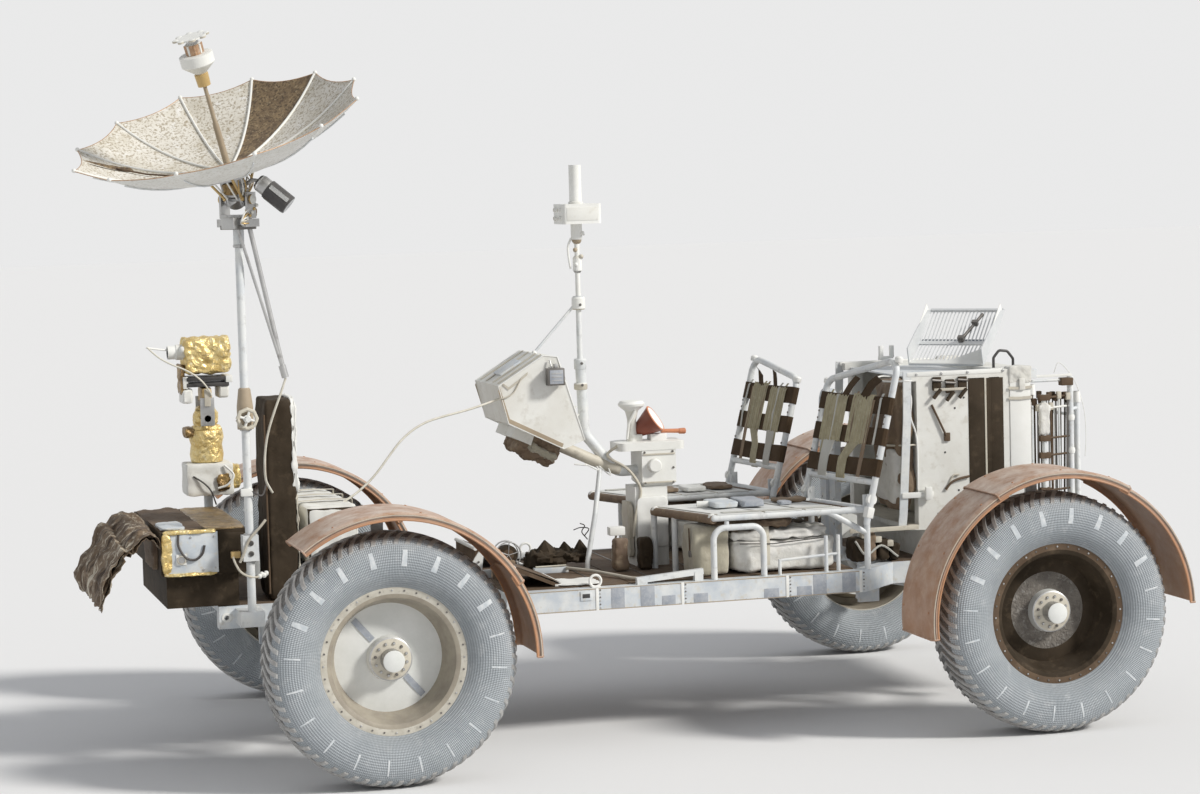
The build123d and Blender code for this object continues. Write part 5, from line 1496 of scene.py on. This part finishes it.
def make_stowed_bags(name, sign):
    """The bags under a seat, with their buckle, straps and cord."""
    shape = Shape()
    # The beige front bag stands for painted shade on the bags' front face.
    shape.puff((-168, -34), sided(sign, 292, 438), (DECK, 712), "bag", 10, 18, 5, 0.02, 2 + sign, sag=3)
    shape.puff((-560, -182), sided(sign, 238, 438), (DECK, 652), "cloth", 8, 24, 7, 0.018, 4 + sign, sag=6)
    shape.puff((-540, -170), sided(sign, 262, 440), (640, 690), "cloth", 4, 20, 12, 0.03, 6 + sign, sag=4)
    shape.puff((-420, -100), sided(sign, 230, 436), (684, 722), "bag_brown", 4, 18, 12, 0.03, 8 + sign)
    shape.strip([(-30, sign * 400, 700), (-31, sign * 400, 640), (-32, sign * 400, 610)], 10, (0, 1, 0),
                "brown", 2)
    shape.box((-38, -28), sided(sign, 392, 410), (600, 622), "steel", 2)
    shape.strip([(-300, sign * 440, 560), (-300, sign * 444, 640), (-300, sign * 430, 694)], 20, (1, 0, 0),
                "cream", 1.8, 2)
    shape.tube([(-200, sign * 444, 640), (-320, sign * 446, 634), (-520, sign * 444, 646)], 2, "wire", 6)
    replaced = ["under_seat_bags"] if sign > 0 else []
    made = piece(f"stowed_bags_{name}", "chassis", shape, *replaced, angle=50, slot="bag_cloth")


# x of the middle, width, height and finish
CLUTTER = [(-680, 44, 88, "cavity"), (-728, 34, 104, "bag_brown"), (-772, 44, 80, "cavity"),
           (-816, 34, 62, "cavity")]


def make_clutter():
    """Dark bundles, tags and a strap on the floor behind each seat."""
    shape = Shape()
    for sign in (1, -1):
        for number, (x, wide, high, name) in enumerate(CLUTTER):
            shape.puff((x - wide / 2, x + wide / 2), sided(sign, 250, 346), (DECK, DECK + high), name, 7,
                       10, 5, 0.04, number + sign)
        for x, z in ((-700, 640), (-752, 622), (-796, 606)):
            shape.box((x - 12, x + 12), sided(sign, 318, 344), (z - 22, z), "cream", 3)
        shape.cable([(-662, sign * 346, 610), (-700, sign * 352, 560), (-760, sign * 347, 590),
                     (-820, sign * 351, 548)], 4, "strap_pale", steps=5)
    piece("deck_clutter", "chassis", shape, angle=40)


def make_hung_bag():
    """The tall bag hung before the pallet."""
    shape = Shape()
    shape.puff((-903, -822), (118, 334), (704, 1178), "bag_brown", 7, 26, 16, 0.012, 3, sag=6)
    shape.puff((-880, -812), (140, 336), (730, 930), "cloth", 5, 20, 12, 0.016, 5)
    for z, name in ((1168, "bright"), (940, "cream")):
        shape.cable([(-905, 120, z), (-860, 118, z + 4), (-818, 180, z), (-815, 270, z - 3), (-850, 338, z),
                     (-905, 340, z)], 3.4, name)
    shape.cable([(-862, 334, 1182), (-884, 344, 1110), (-880, 346, 1040), (-902, 346, 960),
                 (-905, 342, 780)], 3.5, "bright", steps=5)
    made = piece("hung_bag", "chassis", shape, "stowage_bag", angle=50, slot="bag_cloth")


for name, sign in LEFT_RIGHT.items():
    make_stowed_bags(name, sign)
make_clutter()
make_hung_bag()


REEL = (524, 598)       # x and z of the middle of the wire reel


def make_floor_unit():
    """The folded unit between the footrests, with its jagged cloth cover and a wire reel."""
    shape = Shape()
    shape.puff((334, 438), (-118, 58), (FLOOR, 574), "cavity", 8, 10, 5, 0.03, 2)
    shape.puff((236, 452), (-84, 92), (556, 604), "cavity", 3.4, 16, 20, 0.035, 5)
    for x, y, z, r in ((376, 0, 640, 34), (300, -20, 628, 26), (250, 10, 636, 24), (430, 30, 612, 22)):
        peak = [(r * 1.6, 0, "cavity"), (r, (z - 560) * 0.6), (3, z - 560)]
        shape.lathe((x, y, 560), (0.1, 0.1, 1), peak, sides=7)
    for z in (545, 556):
        shape.tube([(440, 88, z), (330, 92, z + 1)], 3, "cream", 8)
    shape.box((322, 446), (70, 96), (FLOOR, 552), "frame", 2)
    shape.cable([(240, 60, 640), (262, 66, 668), (252, 70, 690), (270, 74, 700)], 2, "wire", 6)
    shape.cable([(246, 40, 650), (232, 52, 676), (262, 50, 682), (290, 60, 676)], 2, "wire", 6)
    x, z = REEL
    drum = [(30, 0, "cavity"), (34, 4), (34, 40), (20, 44, "brown"), (0, 44)]
    shape.lathe((x, -8, z), (0, 1, 0), drum, sides=32)
    for y in (-8, 34):
        shape.tube(hoop((x, y, z), 46, 24), 2.6, "metal", 8, caps=False)
    for i in range(5):
        angle = 0.4 + 2 * pi * i / 5
        shape.tube([(x, 36, z), (x + 46 * cos(angle), 34, z + 46 * sin(angle))], 1.6, "metal", 6)
    shape.puff((498, 542), (-8, 42), (FLOOR, 580), "bag_brown", 6, 8, 4, 0.04, 3)
    shape.box((606, 660), (94, 110), (FLOOR, 560), "frame", 2)
    shape.strip([(660, 102, 560), (648, 102, 600), (630, 102, 640)], [46, 30, 10], (1, 0, 0.2), "bright", 8)
    shape.bolt((650, 108, 590), (0, 1, 0), 4, 3, "steel")
    piece("floor_unit_detail", "chassis", shape, "floor_units", angle=30, slot="dark_panel")


def make_footwell():
    """Heel plates, bars and covers of the footrests, strips across the floor and leads."""
    shape = Shape()
    for sign in (1, -1):
        shape.box((425, 462), sided(sign, 128, 434), (DECK, 540), "bright", 1.5)
        shape.tube([(604, sign * 128, 606), (604, sign * 432, 606)], 7, "bright", 10)
        shape.grid(lambda u, v: Vector((435 + 160 * v, sign * (135 + 290 * u), 541 + 66 * v + 1.5)), 2, 2,
                   "brown", size=(0.3, 0.17))
        shape.puff((300, 455), sided(sign, 300, 450), (DECK, 542), "bright", 6, 10, 5, 0.03, sign)
        for y in (170, 390):
            shape.bolt((598, sign * y, 600), (-0.4, 0, 1), 5, 4, "metal")
    for x in (-500, -300, -100, 100, 300):
        shape.box((x - 2, x + 2), (-440, 440), (FLOOR, FLOOR + 2), "steel", 0.5)
    shape.tube([(130, 440, 538), (180, 400, 540), (260, 200, 545), (330, 100, 548)], 6, "cream", 8)
    shape.box((120, 176), (90, 130), (655, 685), "bright", 3)
    shape.tube([(148, 110, 655), (160, 100, 600), (150, 60, 540)], 4, "cream", 8)
    # Two blocks by the column, darkened as painted shade on the floor.
    for side_x, name in ((150, "bag_brown"), (60, "cavity")):
        shape.puff((side_x - 30, side_x + 24), (120, 180), (DECK, 650), name, 6, 10, 6, 0.03, side_x)
    piece("footwell_detail", "chassis", shape, angle=40)


make_floor_unit()
make_footwell()


# The tool pallet
PALLET_HALF = 344       # outer face of a side plate
PALLET_BACK, PALLET_FRONT = -1343, -870
OPEN_BAYS = ((-1163, -1103), (-1221, -1183))
SHADED_POST_FACES = ((-1183, -1103), (-1236, -1190))
BAY = (656, 1166)       # heights of the painted shade on the posts
BRACKETS = [(-980, 1160), (-1030, 1150), (-1078, 1158)]
BUTTONS = [(-1050, 1064), (-1010, 908), (-1060, 770), (-1046, 720), (-980, 690), (-1085, 1100)]
STORED = [(760, "bag"), (900, "cloth"), (1040, "bag"), (860, "bag_brown")]


def make_pallet():
    """Painted shade in the bays and on the posts, latches, brackets and straps of the tool pallet, and the
    bags stored in it.
    """
    shape = Shape()
    for sign in (1, -1):
        y = PALLET_HALF * sign

        def out(low, high):
            return sided(sign, PALLET_HALF + low, PALLET_HALF + high)
        # painted shade: dark sheets inside the open bays
        for x in OPEN_BAYS:
            shape.box(x, sided(sign, 296, 300), (654, 1165), "brown", 0.5)
        shape.box((-1136, -1104), out(-36, -6), (654, 1166), "brown", 1)
        shape.box((PALLET_BACK + 1, -1262), out(GAP, 3), (640, 1180), "bright", 1)
        shape.puff((-1348, -1256), out(-40, 8), (1140, 1206), "cloth", 8, 12, 5, 0.03, 4 * sign)
        for z in (1090, 1126):
            shape.strip([(-1256, y + sign * 6, z), (-1300, y + sign * 8, z - 2), (-1346, y + sign * 6, z)],
                        10, (0, 0, 1), "cream", 1.4)
        shape.box((-1318, -1296), out(8, 11), (1118, 1160), "white", 1.5)
        # slanted flat post by the seat, and the latch on it
        shape.strip([(-872, y - sign * 4, 1200), (-866, y + sign * 2, 1030), (-856, y + sign * 4, 880),
                     (-846, y + sign * 2, 700), (-842, y, 655)], 30, (1, 0, 0), "tube", 7)
        shape.box((-960, -840), out(-2, 12), (752, 772), "bright", 3)
        shape.box((-950, -925), out(10, 24), (744, 790), "bright", 3)
        # painted shade on the posts' outer faces, and the one pale strip between them
        for x in SHADED_POST_FACES:
            shape.box(x, out(GAP, 1.6), BAY, "cavity", 0.3)
        shape.box((-1190, -1183), out(-2, 1.2), BAY, "cavity", 0.3)
        shape.box((-1171, -1164), out(1.6, 3), BAY, "cream", 0.5)
        # tongs brackets, bar, hook and buttons on the side plate
        for x, z in BRACKETS:
            shape.box((x - 16, x + 16), out(0, 12), (z - 30, z + 18), "cavity", 3)
            shape.tube([(x - 12, y + sign * 12, z - 26), (x + 16, y + sign * 16, z - 56)], 7, "cavity", 8)
            shape.tube([(x - 18, y + sign * 13, z + 4), (x + 20, y + sign * 13, z + 8)], 5, "steel", 8)
        shape.box((-1090, -968), out(8, 13), (1128, 1138), "cream", 1.5)
        shape.tube([(-960, y + sign * 5, 1080), (-1012, y + sign * 8, 968)], 4, "brown", 8)
        shape.box((-1028, -1006), out(0, 8), (948, 978), "brown", 2)
        shape.cable([(-1008, y + sign * 5, 776), (-1030, y + sign * 7, 800), (-1060, y + sign * 8, 812),
                     (-1098, y + sign * 6, 818)], 4.5, "brown")
        shape.cable([(-1012, y + sign * 4, 772), (-1036, y + sign * 4, 822), (-1060, y + sign * 6, 826)], 3,
                    "cream")
        for x, z in BUTTONS:
            shape.lathe((x, y + sign * 0.2, z), (0, sign, 0), [(4, 0, "black"), (3.4, 1.2)], sides=10)
        shape.box((-1236, PALLET_FRONT), out(-14, 2), (1182, 1198), "bright", 3)
        for x in (-1236, -1100, -1000, -905):
            shape.bolt((x, y + sign * 2, 1190), (0, sign, 0), 5, 3, "metal")
        shape.box((-900, -640), out(6, 12), (640, 656), "cream", 1.5)
    shape.box((PALLET_BACK, PALLET_FRONT), (4 - PALLET_HALF, PALLET_HALF - 4), (652.3, 656), "cream", 1)
    for number, (z, name) in enumerate(STORED):
        y0 = -280 + 140 * number
        shape.puff((-1120, -975), (y0, y0 + 128), (660, z + 60), name, 6, 14, 8, 0.02, number)
    for y in (-280, -140, 0, 140, 280):
        shape.box((PALLET_BACK - 5, PALLET_BACK - 0.3), (y - 8, y + 8), (650, 1180), "frame", 1)
    for y, z in ((-200, 900), (-60, 1000), (90, 860), (220, 1000)):
        shape.lathe((PALLET_BACK - 0.4, y, z), (-1, 0, 0), [(22, 0, "bright"), (22, 6), (12, 9, "metal")],
                    sides=20)
        shape.box((PALLET_BACK - 9, PALLET_BACK - 1), (y - 34, y + 34), (z - 90, z - 60), "cream", 2)
    piece("pallet_detail", "chassis", shape, angle=35)


RACK_X = -1540          # the rack's bars, behind the cabinet
RACK_HALF = 262
# z and finish of each tool that lies across the rack
CROSS_TOOLS = [(1078, "brown"), (1040, "bright"), (930, "brown"), (868, "brown"), (800, "bright"),
               (740, "brown")]
LOOSE_TOOLS = 16


def make_tool_rack():
    """Tools, latches and bars that stand behind the cabinet."""
    shape = Shape()
    for sign in (1, -1):
        y = RACK_HALF * sign
        shape.tube([(-1430, y, 560), (-1430, y, 1090)], 9, "tube", 10)
        shape.puff((-1450, -1408), (y - 16, y + 16), (940, 1060), "cloth", 5, 10, 4, 0.04, sign)
        for z, name in CROSS_TOOLS:
            shape.box((-1452, -1410), (y - 13, y + 13), (z - 11, z + 11), name, 3)
            shape.tube([(-1450, y, z), (-1536, y * 0.97, z + 4)], 4, name, 8)
        shape.tube([(-1375, y * 0.98, 620), (-1378, y * 0.98, 1070)], 5, "tan", 8)
        shape.puff((-1398, -1362), (y - 14, y + 14), (660, 760), "brown", 5, 8, 4, 0.04, 3)
        shape.box((-1545, -1350), (y * 0.96 - 6, y * 0.96 + 6), (1150, 1160), "bright", 2)
        shape.box((-1402, -1366), (y - 8, y + 8), (1150, 1184), "frame", 2)
        shape.box((-1546, -1500), (y * 0.96 - 16, y * 0.96 + 16), (1118, 1146), "brown", 3)
        for z in (880, 1000):
            shape.lathe((RACK_X, sign * 250, z), (0, 0, 1), [(14, -10, "bright"), (16, 0), (14, 10)],
                        sides=16)
        shape.lathe((-1588, sign * 200, 1060), (0, 0, 1), [(14, -10, "bright"), (15, 0), (12, 30)], sides=16)
    # loose thin tools, at odd angles
    for number in range(LOOSE_TOOLS):
        x = -1390 - 9.5 * number + 5 * noise.noise(Vector((number * 1.7, 2, 3)))
        low = 700 + 90 * noise.noise(Vector((number * 2.9, 5, 1)))
        high = 1080 + 70 * noise.noise(Vector((number * 3.3, 1, 7)))
        lean = 22 * noise.noise(Vector((number * 4.1, 8, 2)))
        shaft = ("brown", "cavity", "steel", "tube")[number % 4]
        head = ("cavity", "brown", "cream")[number % 3]
        for sign in (1, -1):
            y = sign * (236 + 10 * (number % 3))
            shape.tube([(x, y, low), (x + lean, y, high)], 2.4 + number % 3, shaft, 6)
            shape.box((x + lean - 8, x + lean + 8), (y - 8, y + 8), (high - 18, high + 8), head, 2)
    shape.cable([(-1500, 200, 1160), (-1523, 200, 1197), (-1580, 202, 1130), (-1614, 204, 1028),
                 (-1622, 204, 930), (-1618, 203, 850)], 1.6, "bright", 6, steps=6)
    for y in (-120, 0, 120):
        shape.tube([(RACK_X, y, 560), (RACK_X, y, 1020)], 6, "tube", 8)
        shape.ball((RACK_X, y, 1024), 10, "bright")
    for z in (700, 1010):
        shape.tube([(RACK_X, -250, z), (RACK_X, 250, z)], 6, "tube", 8)
    shape.box((RACK_X - 16, RACK_X + 16), (-RACK_HALF, RACK_HALF), (DECK, 545), "frame", 2)
    piece("tool_rack_detail", "chassis", shape)


def make_pallet_top():
    """The fork and fittings on the pallet's top."""
    shape = Shape()
    shape.tube([(-1000, -200, 1194), (-1000, -200, 1216)], 8, "bright", 10)
    shape.box((-1030, -975), (-210, -190), (1208, 1222), "bright", 3)
    for x in (-1026, -984):
        shape.box((x - 8, x + 8), (-208, -192), (1216, 1262), "bright", 4)
    shape.box((-1236, -900), (-330, 330), (1172, 1178), "frame", 1)
    piece("pallet_top_detail", "chassis", shape)


make_pallet()
make_tool_rack()
make_pallet_top()


RAKE_PLACE = (-1140, 50, 1194.3)
RAKE_YAW, RAKE_LEAN = 225, -36
RAKE_HALF = 143         # half the width of its head
RAKE_TURN = Matrix.Translation(RAKE_PLACE) @ turned(RAKE_YAW, "Z") @ turned(RAKE_LEAN, "Y")


def make_rake_detail():
    """Edging on the rake's head, its dark handle with two joints, and a web in one corner."""
    shape = Shape(RAKE_TURN)
    for x, z, wide, name, thick in ((142, -1.5, 20, "patch", 1.6), (10, 9, 18, "bright", 2)):
        shape.strip([(x, -RAKE_HALF, z), (x, RAKE_HALF, z)], wide, (1, 0, 0), name, thick)
    handle_end = Vector((262, -70, 30))
    shape.tube([(124, -16, 14), (160, -30, 16), handle_end], 6, "steel", 10)
    for share in (0.45, 0.8):
        x, y, z = Vector((30, 20, 10)).lerp(handle_end, share)
        shape.box((x - 8, x + 8), (y - 11, y + 11), (z - 12, z + 10), "steel", 2)
    for y in (RAKE_HALF + 2.5, -RAKE_HALF - 2.5):
        shape.strip([(20, y, 12), (140, y, 34), (270, y, 60)], [20, 40, 30], (0, 0, 1), "bright", 1.4)
    shape.grid(lambda u, v: Vector((14 + 96 * v, -140 + 150 * u * (1 - v), 5.5)), 3, 3, "bright",
               size=(0.1, 0.1))
    piece("rake_detail", "chassis", shape)


make_rake_detail()


def make_panel_between_seats():
    """Cover, screws and a grey patch on the upright panel behind the column."""
    shape = Shape()
    shape.box((-716, -712.3), (-66, 66), (560, 1060), "frame", 2)
    for z in range(640, 1100, 90):
        for y in (-60, 60):
            shape.bolt((-690, y, z), (1, 0, 0), 4, 2.5, "metal")
    shape.strip([(-689, 0, 1000), (-689, 0, 700)], 30, (0, 1, 0), "patch", 1.2)
    piece("centre_panel_detail", "chassis", shape)


make_panel_between_seats()


# Stage and light
FLOOR_SIZE = 60         # half the stage's side, in metres
FLOOR_COLOUR = (0.80, 0.80, 0.80, 1)
SKY_LIGHT = (0.44, 0.45, 0.47)          # what lights the rover
SKY_SEEN = (0.82, 0.82, 0.82)           # what the camera and reflections see
SUN_STRENGTH = 3.1
SUN_SPREAD = radians(10)
SUN_COLOUR = (1.0, 0.975, 0.93)
SUN_AIM = (0.655, -0.491, -0.574)


def make_stage():
    """A plain floor that isn't part of the rover."""
    mesh = bpy.data.meshes.new("floor")
    size = FLOOR_SIZE
    corners = [(-size, -size, 0), (size, -size, 0), (size, size, 0), (-size, size, 0)]
    mesh.from_pydata(corners, [], [(0, 1, 2, 3)])
    floor = bpy.data.objects.new("floor", mesh)
    material, tree, shader = tree_of("floor")
    shader.inputs["Base Color"].default_value = FLOOR_COLOUR
    shader.inputs["Roughness"].default_value = 0.9
    mesh.materials.append(material)
    bpy.context.scene.collection.objects.link(floor)


def make_light():
    """Even light from all round, and one sun."""
    world = bpy.data.worlds.new("studio")
    world.use_nodes = True
    tree = world.node_tree
    back = tree.nodes["Background"]
    path = node(tree, "ShaderNodeLightPath")
    seen = maths(tree, "MAXIMUM", path.outputs["Is Camera Ray"], path.outputs["Is Glossy Ray"])
    tree.links.new(mix(tree, seen, SKY_LIGHT, SKY_SEEN), back.inputs["Color"])
    back.inputs["Strength"].default_value = 1.0
    bpy.context.scene.world = world
    sun = bpy.data.objects.new("sun", bpy.data.lights.new("sun", "SUN"))
    sun.data.energy = SUN_STRENGTH
    sun.data.angle = SUN_SPREAD
    sun.data.color = SUN_COLOUR
    sun.rotation_mode = "QUATERNION"
    sun.rotation_quaternion = Vector(SUN_AIM).to_track_quat("-Z", "Y")
    bpy.context.scene.collection.objects.link(sun)
    bpy.context.scene.view_settings.view_transform = "Standard"


make_stage()
make_light()
